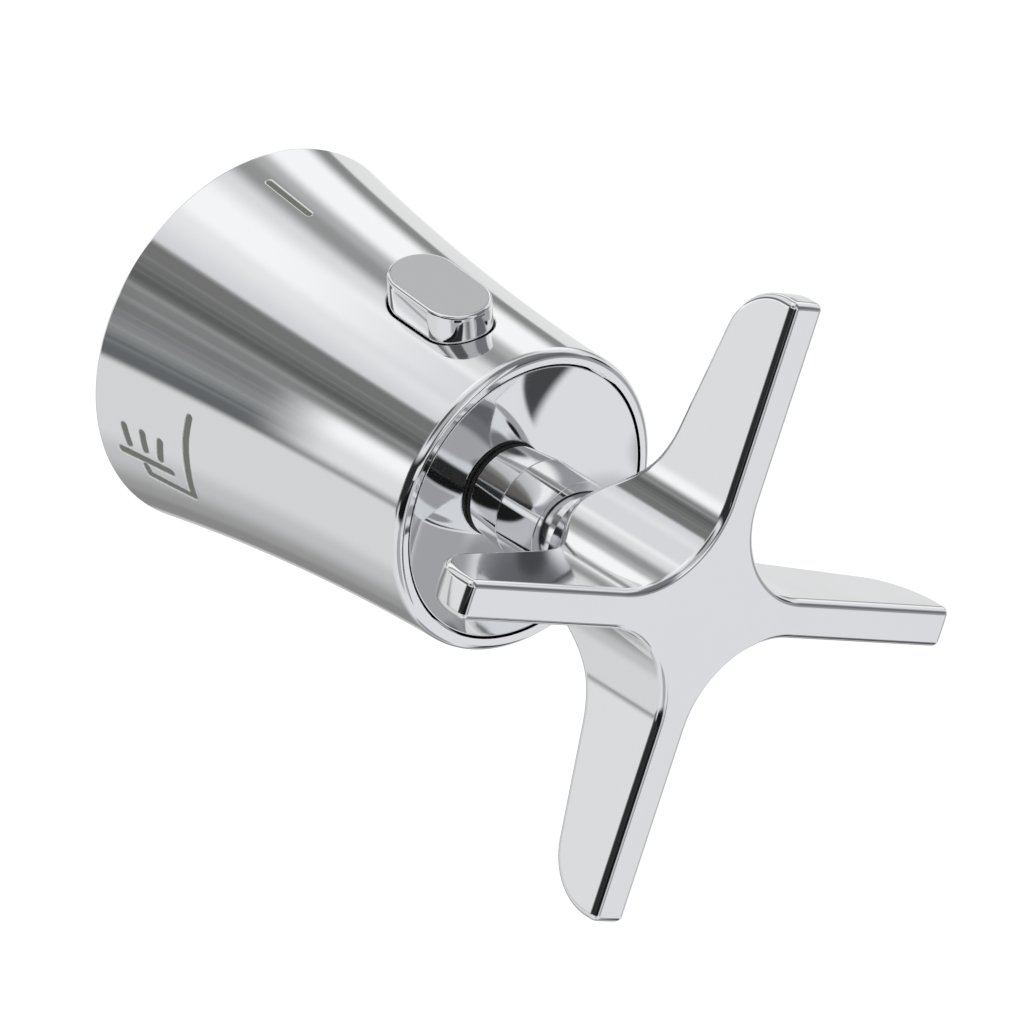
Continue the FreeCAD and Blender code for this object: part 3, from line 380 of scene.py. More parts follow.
def set_inputs(tree, node, inputs):
    """Fills a node's inputs: a socket is linked, anything else is its value."""
    for socket, source in inputs.items():
        if isinstance(source, bpy.types.NodeSocket):
            tree.links.new(source, node.inputs[socket])
        else:
            node.inputs[socket].default_value = source


def add_node(tree, kind, inputs=None, **settings):
    """A node of a kind with its settings, and its inputs filled."""
    node = tree.nodes.new(kind)
    for setting, choice in settings.items():
        setattr(node, setting, choice)
    set_inputs(tree, node, inputs or {})
    return node


def new_finish(name):
    """An empty material with its output and a principled shader."""
    material = bpy.data.materials.new(name)
    material.use_nodes = True
    tree = material.node_tree
    tree.nodes.clear()
    shader = tree.nodes.new("ShaderNodeBsdfPrincipled")
    output = tree.nodes.new("ShaderNodeOutputMaterial")
    tree.links.new(shader.outputs["BSDF"], output.inputs["Surface"])
    return material, tree, shader


# %% [markdown]
# Polished chrome
#
# Bright chrome is nickel under a skin of chromium less than a micrometre thick. It returns about
# two thirds of the light with a faintly cold tone, and its colour in a picture is mostly that of
# the room. Plating is never quite even: wiping leaves soft patches that are a little duller, and
# the buffed brass below gives a slow wave of a few micrometres.

# %% The chrome finishes
CHROME = "#f3f4f5"
NOISE_LOW = 0.3
NOISE_HIGH = 0.7
WIPE_PATCH = 9.0
WIPE_SPREAD = 0.4
BUFF_WAVE = 14.0
BUFF_HEIGHT = 0.004


def chrome_finish(name, dull=0.05):
    """Polished plating: roughness in soft patches and a slow wave from buffing."""
    material, tree, shader = new_finish(name)
    place = add_node(tree, "ShaderNodeTexCoord").outputs["Object"]
    patches = add_node(tree, "ShaderNodeTexNoise",
                       {"Vector": place, "Scale": 1 / (WIPE_PATCH * MM), "Detail": 3.0})
    rough = add_node(tree, "ShaderNodeMapRange",
                     {"Value": patches.outputs[0], "From Min": NOISE_LOW, "From Max": NOISE_HIGH,
                      "To Min": dull * (1 - WIPE_SPREAD), "To Max": dull * (1 + WIPE_SPREAD)})
    slow = add_node(tree, "ShaderNodeTexNoise",
                    {"Vector": place, "Scale": 1 / (BUFF_WAVE * MM), "Detail": 1.0})
    bump = add_node(tree, "ShaderNodeBump", {"Height": slow.outputs[0], "Strength": 1.0,
                                             "Distance": BUFF_HEIGHT * MM})
    set_inputs(tree, shader, {"Base Color": colour(CHROME), "Metallic": 1.0,
                              "Roughness": rough.outputs[0], "Normal": bump.outputs[0]})
    return material


bright_chrome = chrome_finish("bright_chrome")
cross_chrome = chrome_finish("buffed_chrome_cross", dull=0.07)
print("finishes:", bright_chrome.name, cross_chrome.name)

# %% [markdown]
# The sleeve
#
# The sleeve is cast and plated, and it is the largest mirror of the handle. Its side is a hollow
# arc of 330 mm radius, so its reflections draw out into long streaks. It could be a lathe
# modifier with a boolean for the slot, but a boolean leaves slivers that a mirror shows. Here a
# grid of angle and depth carries the skin, a window in the grid is left for the button, and a
# patch runs from the window to the rounded edge of the slot.

# %% Sizes of the sleeve
FRONT_RADIUS = 17.7
REAR_RADIUS = 22.1
SWEEP = 330.0
LIP_BORE = 16.15
GLIDE_SEAT = 20.2
LIP_ROUND = 1.0
REAR_ROUND = 0.3
SKIN_OVERLAP = 0.2
LIP_STEPS = 11
REAR_STEPS = 7
LENGTH = REAR - LIP
chord = math.hypot(LENGTH, REAR_RADIUS - FRONT_RADIUS)
reach = math.sqrt(SWEEP ** 2 - chord ** 2 / 4) / chord
SWEEP_PLACE = LENGTH / 2 - (REAR_RADIUS - FRONT_RADIUS) * reach
SWEEP_HEIGHT = (FRONT_RADIUS + REAR_RADIUS) / 2 + LENGTH * reach
print("sleeve:", round(LENGTH, 2), "mm long, arc's centre at depth", round(SWEEP_PLACE, 1))


def sleeve_radius(depth):
    """Height of the arc's centre less the root of sweep^2 - (depth - place)^2."""
    return SWEEP_HEIGHT - np.sqrt(SWEEP ** 2 - (depth - SWEEP_PLACE) ** 2)


def sleeve_tilt(depth):
    """Angle of the skin's direction against the radius; it leans to the front."""
    return -np.arcsin((depth - SWEEP_PLACE) / SWEEP)


def skin_section(body_depths):
    """Radius, depth and direction angle along the skin: flat lip, round, side, round, rim."""
    front_tilt = sleeve_tilt(LIP_ROUND)
    front_touch = LIP_ROUND + LIP_ROUND * math.sin(front_tilt)
    front_centre = sleeve_radius(front_touch) - LIP_ROUND * math.cos(front_tilt)
    rear_tilt = sleeve_tilt(LENGTH - REAR_ROUND)
    rear_touch = LENGTH - REAR_ROUND + REAR_ROUND * math.sin(rear_tilt)
    rear_centre = sleeve_radius(rear_touch) - REAR_ROUND * math.cos(rear_tilt)
    flat_lip = np.linspace(LIP_BORE + SKIN_OVERLAP, front_centre, 3)[:-1]
    flat_rim = np.linspace(rear_centre, GLIDE_SEAT + SKIN_OVERLAP, 4)[1:]
    lip_turn = np.linspace(-math.pi / 2, front_tilt, LIP_STEPS)
    rim_turn = np.linspace(rear_tilt, math.pi / 2, REAR_STEPS)
    side = body_depths[(body_depths > front_touch + SKIN_OVERLAP)
                       & (body_depths < rear_touch - SKIN_OVERLAP)]
    radius = np.concatenate([flat_lip, front_centre + LIP_ROUND * np.cos(lip_turn),
                             sleeve_radius(side), rear_centre + REAR_ROUND * np.cos(rim_turn),
                             flat_rim])
    depth = np.concatenate([0 * flat_lip, LIP_ROUND + LIP_ROUND * np.sin(lip_turn), side,
                            LENGTH - REAR_ROUND + REAR_ROUND * np.sin(rim_turn),
                            0 * flat_rim + LENGTH])
    turn = np.concatenate([0 * flat_lip - math.pi / 2, lip_turn, sleeve_tilt(side), rim_turn,
                           0 * flat_rim + math.pi / 2])
    return radius, depth, turn


# %% [markdown]
# The signs
#
# Two signs are engraved and filled with grey: a short index line behind the button, and on the
# left a sketch of a shower, with three jets, the head, its pipe and the wall. Each is a
# few strokes with round ends, and a point of a stroke is a depth and an angle round the axis.
# The depth of the engraving follows from the distance to the nearest stroke.

# %% Strokes of the signs
INDEX_WIDTH = 0.8
SHOWER_WIDTH = 0.96
ENGRAVED = 0.12
FLANK = 0.1
INDEX_LINE = [[(36.1, 0.0), (42.9, 0.0)]]
SHOWER = [
    [(43.2, 92.5), (42.75, 98.4)],
    [(40.5, 92.5), (40.35, 98.4)],
    [(37.85, 92.8), (38.2, 99.5)],
    [(44.1, 101.9), (36.9, 103.4)],
    [(40.9, 105.4), (40.75, 108.4), (38.0, 109.5), (34.5, 110.6)],
    [(33.45, 79.3), (33.8, 87.4), (34.0, 99.0), (34.4, 110.4)],
]
SIGN_RADIUS = 21.3
print("signs:", len(INDEX_LINE) + len(SHOWER), "strokes")


def nearest_stroke(arc, depth, strokes):
    """Distance in millimetres from each place (arc, depth) to the nearest stroke."""
    spot = np.stack([arc, depth], -1)
    least = np.full(arc.shape, np.inf)
    for stroke in strokes:
        line = np.array([(math.radians(turn) * SIGN_RADIUS, place) for place, turn in stroke])
        for start, end in zip(line[:-1], line[1:]):
            run = end - start
            share = np.clip((spot - start) @ run / (run @ run), 0, 1)[..., None]
            away = np.linalg.norm(spot - start - share * run, axis=-1)
            least = np.minimum(least, away)
    return least


# %% [markdown]
# The skin of the sleeve
#
# The grid's columns are angles and its rows are depths. A run of them goes from one value to
# another with a spacing, which is about seven times finer at the signs, so that the flanks of the
# engraving stay crisp. The slope of each flank is added to the directions.

# %% Grid of the skin
FINE = 0.3
COARSE = 2
SLOT_WINDOW = {"depths": (4.4, 22.2), "angles": (338, 22)}
HOLE_WINDOW = {"depths": (26.4, 35.6), "angles": (166, 194)}
ANGLE_RUNS = [(-3.3, 3.3, FINE), (3.3, 22, COARSE), (22, 76, COARSE), (76, 113.5, FINE),
              (113.5, 166, COARSE), (166, 194, COARSE), (194, 338, COARSE), (338, 356.7, COARSE)]
DEPTH_RUNS = [(1.4, 4.4, 0.8), (4.4, 22.2, 0.9), (22.2, 26.4, 1.0), (26.4, 32.8, 0.8),
              (32.8, 45.2, 0.11)]
REAR_ROWS = (45.2, 46.9, 3)
STEEPEST = 2
TINY = 1e-9
angles = np.concatenate([between(*run) for run in ANGLE_RUNS])
depths = np.concatenate([between(*run) for run in DEPTH_RUNS] + [np.linspace(*REAR_ROWS)])
skin_radius, skin_depth, skin_turn = skin_section(depths)
swing = np.radians(angles)[None, :]
away = np.stack([-np.sin(swing), 0 * swing, np.cos(swing)], -1)
sideways = np.stack([-np.cos(swing), 0 * swing, -np.sin(swing)], -1)

arc_there = np.where(swing > math.pi, swing - 2 * math.pi, swing) * SIGN_RADIUS
arc_there = np.broadcast_to(arc_there, (len(skin_depth), len(angles)))
depth_there = np.broadcast_to(skin_depth[:, None], arc_there.shape)
inside = np.maximum(INDEX_WIDTH / 2 - nearest_stroke(arc_there, depth_there, INDEX_LINE),
                    SHOWER_WIDTH / 2 - nearest_stroke(arc_there, depth_there, SHOWER))
filled = np.clip(inside / FLANK + 0.5, 0, 1)
cut = ENGRAVED * filled * filled * (3 - 2 * filled)
row_gap = np.gradient(skin_depth + TINY * np.arange(len(skin_depth)))[:, None]
column_gap = (np.gradient(np.radians(angles)) * SIGN_RADIUS)[None, :]
down_slope = np.clip(np.gradient(cut, axis=0) / row_gap, -STEEPEST, STEEPEST)[..., None]
side_slope = np.clip(np.gradient(cut, axis=1) / column_gap, -STEEPEST, STEEPEST)[..., None]
out_way = np.cos(skin_turn)[:, None, None] * away + np.sin(skin_turn)[:, None, None] * AXIS
skin_ways = unit(out_way + down_slope * AXIS + side_slope * sideways)
skin_points = (skin_radius[:, None, None] * away + (skin_depth + LIP)[:, None, None] * AXIS
               - cut[..., None] * out_way)
print("skin of the sleeve:", skin_points.shape[:2], "deepest cut", round(float(cut.max()), 3))

# %% [markdown]
# The slot and the access hole
#
# The window in the grid has straight sides and the slot has round ends. Each point of the
# window's border is joined to the nearest point of the slot's middle line, and where that line
# crosses the slot's outline is its partner on the edge. So the patch's lines meet the edge
# squarely. A ball of the edge's radius that touches skin and wall gives the rounding.

# %% Patches round a slot or a hole
SLOT_PLACE = 13.3
SLOT_WIDTH = 8.4
SLOT_LENGTH = 13.8
SLOT_RUN = (SLOT_LENGTH - SLOT_WIDTH) / 2
SLOT_EDGE = 0.15
ACCESS_PLACE = 31.0
ACCESS_RADIUS = 2.4
BALL_STEPS = 5


def turn_about(across, along):
    """Angle from 0 to a full turn of a place (across, along)."""
    return np.arctan2(along, across) % (2 * math.pi)


def across_plan(ways):
    """Directions (x, depth) as directions in space, level in height."""
    return np.stack([ways[:, 0], ways[:, 1], 0 * ways[:, 0]], -1)


def off_middle(plan, half_run):
    """Directions (x, depth) from an oblong's middle line to the places of a plan."""
    middle = np.stack([0 * plan[:, 0], np.clip(plan[:, 1], -half_run, half_run)], -1)
    return unit(plan - middle), middle


def on_skin(plan, side):
    """Points and directions of the skin above (or below) plan places (x, depth)."""
    radius = sleeve_radius(plan[..., 1])
    height = side * np.sqrt(radius ** 2 - plan[..., 0] ** 2)
    points = np.stack([plan[..., 0], plan[..., 1] + LIP, height], -1)
    tilt = sleeve_tilt(plan[..., 1])
    ways = np.stack([np.cos(tilt) * points[..., 0] / radius, np.sin(tilt),
                     np.cos(tilt) * height / radius], -1)
    return points, ways


def touching_ball(edge, first, second, radius, steps):
    """Rows of a rounding between two surfaces that meet at an edge: the ball's centre is
    edge - radius (n + m) / (1 + n.m), and its direction swings evenly from n to m."""
    meet = np.sum(first * second, -1, keepdims=True)
    centre = edge - radius * (first + second) / (1 + meet)
    ways = swing_between(first, second, steps)
    return centre + radius * ways, ways


# %% [markdown]
# Windows and patches
#
# A window is given by two depths and two angles, and takes the nearest rows and columns of the
# grid. Its border is read off the grid, so the patch and the grid share their points. The rows
# of a patch lie closer together towards the edge.

# %% Windows and patches
PATCH_ROWS = 9
PATCH_EASE = 1.4


def slot_patch(window, place, half_run, radius, side):
    """Skin from the window's border to a slot's edge with its rounding, and what the seam needs:
    the last row, the wall's directions and the angles round the slot."""
    border = np.stack([window[:, 0], window[:, 1] - LIP - place], -1)
    outward, middle = off_middle(border, half_run)
    here = np.array([0.0, place])
    edge, edge_way = on_skin(middle + radius * outward + here, side)
    wall_way = across_plan(-outward)
    rows, row_ways = touching_ball(edge, edge_way, wall_way, SLOT_EDGE, BALL_STEPS)
    start = np.stack([rows[0, :, 0], rows[0, :, 1] - LIP - place], -1)
    share = 1 - (1 - np.linspace(0, 1, PATCH_ROWS)[:-1, None, None]) ** PATCH_EASE
    points, ways = on_skin(border + (start - border) * share + here, side)
    points[0] = window
    points = np.concatenate([points, rows])
    ways = np.concatenate([ways, row_ways])
    turn = turn_about(rows[-1, :, 0], rows[-1, :, 1] - LIP - place)
    return grid(points, ways, around=True), rows[-1], wall_way, turn


def window_of(first_row, last_row, first_column, last_column):
    """Points of the grid round a window, in order, and the mask of the quads inside it."""
    wide = np.arange(first_column, last_column + 1) % len(angles)
    tall = np.arange(first_row, last_row + 1)
    border = np.concatenate([skin_points[first_row, wide[:-1]], skin_points[tall[:-1], wide[-1]],
                             skin_points[last_row, wide[:0:-1]], skin_points[tall[:0:-1], wide[0]]])
    mask = np.zeros((len(skin_depth) - 1, len(angles)), bool)
    mask[np.ix_(tall[:-1], wide[:-1])] = True
    return border, mask


def window_at(window):
    """Border and mask of the window between two depths and two angles; its second angle may lie
    past the end of a turn."""
    rows = [int(np.argmin(np.abs(skin_depth - depth))) for depth in window["depths"]]
    first, last = (int(np.argmin(np.abs(angles - angle))) for angle in window["angles"])
    return window_of(*rows, first, last if last > first else last + len(angles))


slot_window, slot_mask = window_at(SLOT_WINDOW)
hole_window, hole_mask = window_at(HOLE_WINDOW)
slot_skin, slot_rim, slot_way, slot_turn = slot_patch(
    slot_window, SLOT_PLACE, SLOT_RUN, SLOT_WIDTH / 2, 1)
hole_skin, hole_rim, hole_way, hole_turn = slot_patch(
    hole_window, ACCESS_PLACE, 0.0, ACCESS_RADIUS, -1)
print("slot border", len(slot_window), "points, access hole border", len(hole_window))

# %% [markdown]
# The inside of the sleeve
#
# The faces of the solid that the new skin stands for are found by their radius, depth and
# direction, and left away. What is left ends in four rings, at the lip's bore, the rear rim, the
# slot and the access hole, and each is zipped to the skin.

# %% The sleeve's lining and the whole piece
NEAR = 0.05
FLUSH = 0.02
SKIN_NEAR = 0.08
OUTWARDS = 0.5
LOWERED = 0.3
SHELL_TOP = 14
SLOT_NEAR = (0.3, 0.25)
inner = lining("cone_sleeve")
middle_radius = np.hypot(inner["middles"][:, 0], inner["middles"][:, 2])
middle_depth = inner["middles"][:, 1] - LIP
radial = np.sum(inner["faces"][:, [0, 2]] * inner["middles"][:, [0, 2]], 1) / middle_radius
off_skin = np.abs(middle_radius - sleeve_radius(middle_depth))
skin_faces = (off_skin < SKIN_NEAR) & (radial > OUTWARDS)
lip_faces = (middle_depth < LIP_ROUND + 2 * NEAR) & (middle_radius > LIP_BORE - NEAR)
rim_faces = (middle_depth > LENGTH - REAR_ROUND - FLUSH) & (middle_radius > GLIDE_SEAT - 2 * NEAR)
inner_keep = ~(skin_faces | (lip_faces | rim_faces) & (radial > -OUTWARDS))

loose = open_edge(inner, inner_keep)
spots = inner["points"][loose]
spot_radius, spot_depth = np.hypot(spots[:, 0], spots[:, 2]), spots[:, 1] - LIP
at_bore = (np.abs(spot_radius - LIP_BORE) < NEAR) & (np.abs(spot_depth) < FLUSH)
at_rim = (np.abs(spot_radius - GLIDE_SEAT) < NEAR) & (np.abs(spot_depth - LENGTH) < FLUSH)
at_slot = (spots[:, 2] > SHELL_TOP) & (np.abs(spots[:, 0]) < SLOT_WIDTH / 2 + SLOT_NEAR[0]) & (
    np.abs(spot_depth - SLOT_PLACE) < SLOT_LENGTH / 2 + SLOT_NEAR[1]) & ~at_bore
at_hole = (spots[:, 2] < -SHELL_TOP) & (
    np.hypot(spots[:, 0], spot_depth - ACCESS_PLACE) < ACCESS_RADIUS + 2 * NEAR)
inner["points"][loose[at_slot], 2] -= SLOT_EDGE + LOWERED
inner["points"][loose[at_hole], 2] += SLOT_EDGE + LOWERED
rings = [inner["points"][loose[group]] for group in (at_bore, at_rim, at_slot, at_hole)]
print("edges of the lining:", [len(ring) for ring in rings], "of", len(loose))


def ring_seam(row, ring, way):
    """Flat ring round the axis between a row of the skin and the lining's edge."""
    return zipped(row, ring, np.broadcast_to(way, row.shape), np.broadcast_to(way, ring.shape),
                  turn_about(row[:, 2], -row[:, 0]), turn_about(ring[:, 2], -ring[:, 0]))


def wall_seam(rim, ways, turns, ring, place, half_run, side):
    """Short wall between a rounding and the lining's edge; side is 1 for a plug, -1 for a hole."""
    plan = np.stack([ring[:, 0], ring[:, 1] - LIP - place], -1)
    ring_ways = across_plan(side * off_middle(plan, half_run)[0])
    return zipped(rim, ring, ways, ring_ways, turns, turn_about(plan[:, 0], plan[:, 1]))


sleeve_parts = [
    grid(skin_points, skin_ways, around=True, keep=~(slot_mask | hole_mask)),
    slot_skin, hole_skin,
    ring_seam(skin_points[0], rings[0], -AXIS), ring_seam(skin_points[-1], rings[1], AXIS),
    wall_seam(slot_rim, slot_way, slot_turn, rings[2], SLOT_PLACE, SLOT_RUN, -1),
    wall_seam(hole_rim, hole_way, hole_turn, rings[3], ACCESS_PLACE, 0.0, -1),
    lining_part(inner, inner_keep),
]

# %% [markdown]
# Chrome with a grey filling
#
# The filling of the signs is a matt grey lacquer wiped into the engraving. The share of filling
# is stored at each point while the grid is made, and the material turns from mirror to lacquer
# by it.

# %% The sleeve's finish
LACQUER = "#70706b"
LACQUER_ROUGH = 0.55


def engraved_chrome():
    """Chrome whose colour, metal and roughness go over to lacquer where the filling is."""
    material = chrome_finish("bright_chrome_engraved")
    tree = material.node_tree
    shader = tree.nodes["Principled BSDF"]
    filling = add_node(tree, "ShaderNodeAttribute", attribute_name="filling").outputs["Fac"]
    body = add_node(tree, "ShaderNodeMix", {0: filling, 6: colour(CHROME), 7: colour(LACQUER)},
                    data_type="RGBA")
    metal = add_node(tree, "ShaderNodeMapRange", {"Value": filling, "To Min": 1.0, "To Max": 0.0})
    polished = shader.inputs["Roughness"].links[0].from_socket
    rough = add_node(tree, "ShaderNodeMix", {0: filling, 2: polished, 3: LACQUER_ROUGH})
    set_inputs(tree, shader, {"Base Color": body.outputs[2], "Metallic": metal.outputs[0],
                              "Roughness": rough.outputs[0]})
    return material


make_piece("sleeve_skin", sleeve_parts, [engraved_chrome()], "handle", "cone_sleeve",
           marks=("filling", filled.ravel()))

# %% [markdown]
# The dish
#
# A spun disc: hollow in front with a sphere's curve, so it shows the arms and the stem again,
# upside down. Only its front is ever seen, and a black seam separates its rim from the sleeve:
# the side of the rim is painted black, as painted shade for the dark of the narrow gap.

# %% The dish
DISH_RADIUS = 15.88
DISH_SWEEP = 35.1
DISH_HOLE = 5.0
DISH_RIM = 0.02
DISH_RIM_BACK = 2.7
DISH_FLAT = 13.4
DISH_WALL = 1.3
DISH_EDGE = 0.1
DISH_STEPS = 256
HOLLOW_ROWS = 40
BACK_ROWS = 20
SEAM_NEAR = 0.02


def hollow_depth(radius):
    """Depth of the sphere at a radius, so that it passes through the rim."""
    return DISH_RIM + np.sqrt(DISH_SWEEP ** 2 - radius ** 2) - math.sqrt(
        DISH_SWEEP ** 2 - DISH_RADIUS ** 2)


def dish_section():
    """Closed section of the dish: hollow, rim, flat back, back curve, hole."""
    sphere = float(hollow_depth(0.0)) - DISH_SWEEP
    rim = np.array([[DISH_RADIUS, DISH_RIM]])
    rim_way = np.array([[-DISH_RADIUS, sphere - DISH_RIM]]) / DISH_SWEEP
    rim_rows, rim_ways = touching_ball(rim, rim_way, np.array([[1.0, 0.0]]), DISH_EDGE,
                                       BALL_STEPS)
    radius = np.linspace(DISH_HOLE, rim_rows[0, 0, 0], HOLLOW_ROWS)[:-1]
    front = np.stack([radius, hollow_depth(radius)], 1)
    front_ways = np.stack([-radius, sphere - front[:, 1]], 1) / DISH_SWEEP
    back_radius = np.linspace(DISH_FLAT, DISH_HOLE, BACK_ROWS)
    share = (back_radius - DISH_HOLE) / (DISH_FLAT - DISH_HOLE)
    back_depth = (hollow_depth(back_radius) + DISH_WALL) * (1 - share) + DISH_RIM_BACK * share
    back = np.stack([back_radius, back_depth], 1)
    back_ways = unit(np.stack([-np.gradient(back_depth, back_radius), 0 * back_radius + 1], 1))
    hole = hollow_depth(DISH_HOLE)
    places = [front, rim_rows[:, 0], [[DISH_RADIUS, DISH_RIM_BACK], [DISH_RADIUS, DISH_RIM_BACK],
                                      [DISH_FLAT, DISH_RIM_BACK]], back,
              [[DISH_HOLE, hole + DISH_WALL], [DISH_HOLE, hole]]]
    ways = [front_ways, rim_ways[:, 0], [[1, 0], [0, 1], [0, 1]], back_ways, [[-1, 0], [-1, 0]]]
    return np.concatenate(places).astype(float), np.concatenate(ways).astype(float)


def painted_seam_shade():
    """Painted shade on the side of the rim: black and matt, so the seam shows no light, as a deep
    narrow gap would.
    """
    material, tree, shader = new_finish("dish_side_painted_shade_black")
    set_inputs(tree, shader, {"Base Color": colour("#0d0d0e"), "Roughness": 0.6, "IOR": 1.41})
    return material


dish = make_piece("dish_skin", [turned(*dish_section(), steps=DISH_STEPS)],
                  [bright_chrome, painted_seam_shade()], "handle", "front_dish")
# The faces on the side of the rim take the second finish: black painted shade for the dark of the
# seam.
middles = read(dish.data.polygons, "center") / MM
on_side = np.hypot(middles[:, 0], middles[:, 2]) > DISH_RADIUS - SEAM_NEAR
dish.data.polygons.foreach_set("material_index", on_side.astype(np.int32))
print("faces with sealant:", int(on_side.sum()))

# %% [markdown]
# The rings of the stem
#
# The stem is three turned rings clamped together: a collar, a plain tube and a foot that tapers
# to its shoulder. Their corners are rounded by polishing, and where two of them meet, the two
# roundings make the fine dark line that is seen on the stem.

# %% The stem
STEM_BORE = 3.91
NECK = 5.85
FOOT_END = 5.35
SPIGOT = 4.9
FOOT_LENGTH = 5.1
FOOT_EDGE = 0.2
RING_EDGE = 0.07
INNER_EDGE = 0.05


def stem_ring(node, corners):
    """A turned ring that stands for a solid of the stem."""
    section = rounded_section(corners)
    return make_piece(node + "_skin", [turned(*section)], [bright_chrome], "handle",
                      node)


def ends_of(node):
    """Depths of a solid's front and back from the lip."""
    return [corner.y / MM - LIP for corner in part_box(node)]


for node in ("collar_ring", "stem_tube"):
    front, back = ends_of(node)
    stem_ring(node, [(STEM_BORE, front, INNER_EDGE), (NECK, front, RING_EDGE),
                     (NECK, back, RING_EDGE), (STEM_BORE, back, INNER_EDGE)])
front, back = ends_of("stem_foot")
shoulder = front + FOOT_LENGTH
stem_ring("stem_foot", [(STEM_BORE, front, INNER_EDGE), (NECK, front, RING_EDGE),
                        (FOOT_END, shoulder, FOOT_EDGE), (SPIGOT, shoulder, INNER_EDGE),
                        (SPIGOT, back, INNER_EDGE), (STEM_BORE, back, INNER_EDGE)])

# %% [markdown]
# The button
#
# The push button is oblong, with a face that rises a little to the rear. Its face is satin, its
# rim and sides are polished, and that contrast is what makes it read as a button. The face is one
# flat polygon, the rim is a ball's path along the outline, and below it the solid's own walls go
# on.

# %% The button's face and rim
FACE_TOP = 21.5
FACE_RISE = 0.09
BUTTON_WIDTH = 8.0
BUTTON_LENGTH = 13.4
BUTTON_RUN = (BUTTON_LENGTH - BUTTON_WIDTH) / 2
BUTTON_EDGE = 0.4
END_STEPS = 33
EDGE_STEPS = 7


def capsule():
    """Outline of an oblong with round ends, and the outward directions, in (x, depth): half a
    circle for each end, moved along by half the difference of length and width."""
    turn = np.concatenate([np.linspace(0, math.pi, END_STEPS),
                           np.linspace(math.pi, 2 * math.pi, END_STEPS)])
    out = np.stack([np.cos(turn), np.sin(turn)], 1)
    run = BUTTON_RUN * np.where(np.arange(2 * END_STEPS) < END_STEPS, 1, -1)
    return BUTTON_WIDTH / 2 * out + np.stack([0 * run, run], 1), out


outline, outward = capsule()
face_way = unit(np.array([0.0, -FACE_RISE, 1.0]))
edge = np.stack([outline[:, 0], outline[:, 1] + SLOT_PLACE + LIP,
                 FACE_TOP + FACE_RISE * outline[:, 1]], 1)
wall_way = across_plan(outward)
rim_rows, rim_ways = touching_ball(edge, wall_way, np.broadcast_to(face_way, edge.shape),
                                   BUTTON_EDGE, EDGE_STEPS)
rim_turn = turn_about(rim_rows[0, :, 0], rim_rows[0, :, 1] - LIP - SLOT_PLACE)

cap = lining("button_cap")
face_height = FACE_TOP + FACE_RISE * (cap["middles"][:, 1] - LIP - SLOT_PLACE)
cap_keep = cap["middles"][:, 2] < face_height - BUTTON_EDGE - NEAR
cap_loose = open_edge(cap, cap_keep)
cap["points"][cap_loose, 2] -= LOWERED
cap_ring = cap["points"][cap_loose]
print("button ring:", len(cap_ring), "points")

# %% [markdown]
# Satin for the button's face
#
# The face is blasted with fine glass beads before plating. Such a face has no mirror image left:
# it spreads the light of half the room and looks an even grey.

# %% Satin chrome and the button
BEAD_GRAIN = 0.12
BEAD_DEPTH = 0.006


def satin_chrome():
    """Bead-blasted plating: rough metal with a fine grain."""
    material, tree, shader = new_finish("satin_chrome_bead_blasted")
    place = add_node(tree, "ShaderNodeTexCoord").outputs["Object"]
    grain = add_node(tree, "ShaderNodeTexNoise", {
        "Vector": place, "Scale": 1 / (BEAD_GRAIN * MM), "Detail": 2.0})
    rough = add_node(tree, "ShaderNodeMapRange", {"Value": grain.outputs[0], "To Min": 0.36,
                                                  "To Max": 0.5})
    bump = add_node(tree, "ShaderNodeBump", {"Height": grain.outputs[0], "Strength": 0.35,
                                             "Distance": BEAD_DEPTH * MM})
    set_inputs(tree, shader, {"Base Color": colour("#e0e1e2"), "Metallic": 1.0,
                              "Roughness": rough.outputs[0], "Normal": bump.outputs[0]})
    return material


make_piece("button_cap_skin",
           [flat_face(rim_rows[-1], face_way, finish=1), grid(rim_rows, rim_ways, around=True),
            wall_seam(rim_rows[0], wall_way, rim_turn, cap_ring, SLOT_PLACE, BUTTON_RUN, 1),
            lining_part(cap, cap_keep)],
           [bright_chrome, satin_chrome()], "button", "button_cap")

# %% [markdown]
# The cross
#
# The cross is one casting. Seen from the front it is four arms with a hollow arc in each corner.
# Seen from the side each arm is rounded off at its tip, runs back along a gentle slope and sweeps
# into the cone of the hub. So its back is a turned surface, trimmed by the front outline. A
# bevel modifier would be the quick way to round its edges, but it pulls at the flat faces beside
# it. Here a ball rolls along each edge instead, and everything is worked out for an eighth of the
# cross and laid out eight times.

# %% The side view of an arm
ARM_REACH = 36.05
ARM_HALF = 2.3
HOLLOW = 10.9
CROSS_EDGE = 0.85
TIP_ROUND = 7.3
ROOT_ROUND = 12.8
HUB_END_ROUND = 0.15
ARM_END = np.array([36.12, 8.0])
ARM_ROOT = np.array([12.3, 12.0])
CONE_END = np.array([6.6, 19.6])
FRONT_STEPS = 6
END_ROWS = 5
VIEW_STEP = 0.7
FINE_STEP = 0.02


def turn_of_line(start, end):
    """Angle of the outward direction of a line of the side view."""
    run = end - start
    return math.atan2(-run[0], run[1])


def on_arc(centre, radius, start, end, steps, hollow=False):
    """Radius, depth and direction angle along an arc of the side view."""
    turn = np.linspace(start, end, steps)
    sign = -1 if hollow else 1
    return np.stack([centre[0] + sign * radius * np.cos(turn),
                     centre[1] + sign * radius * np.sin(turn), turn], 1)


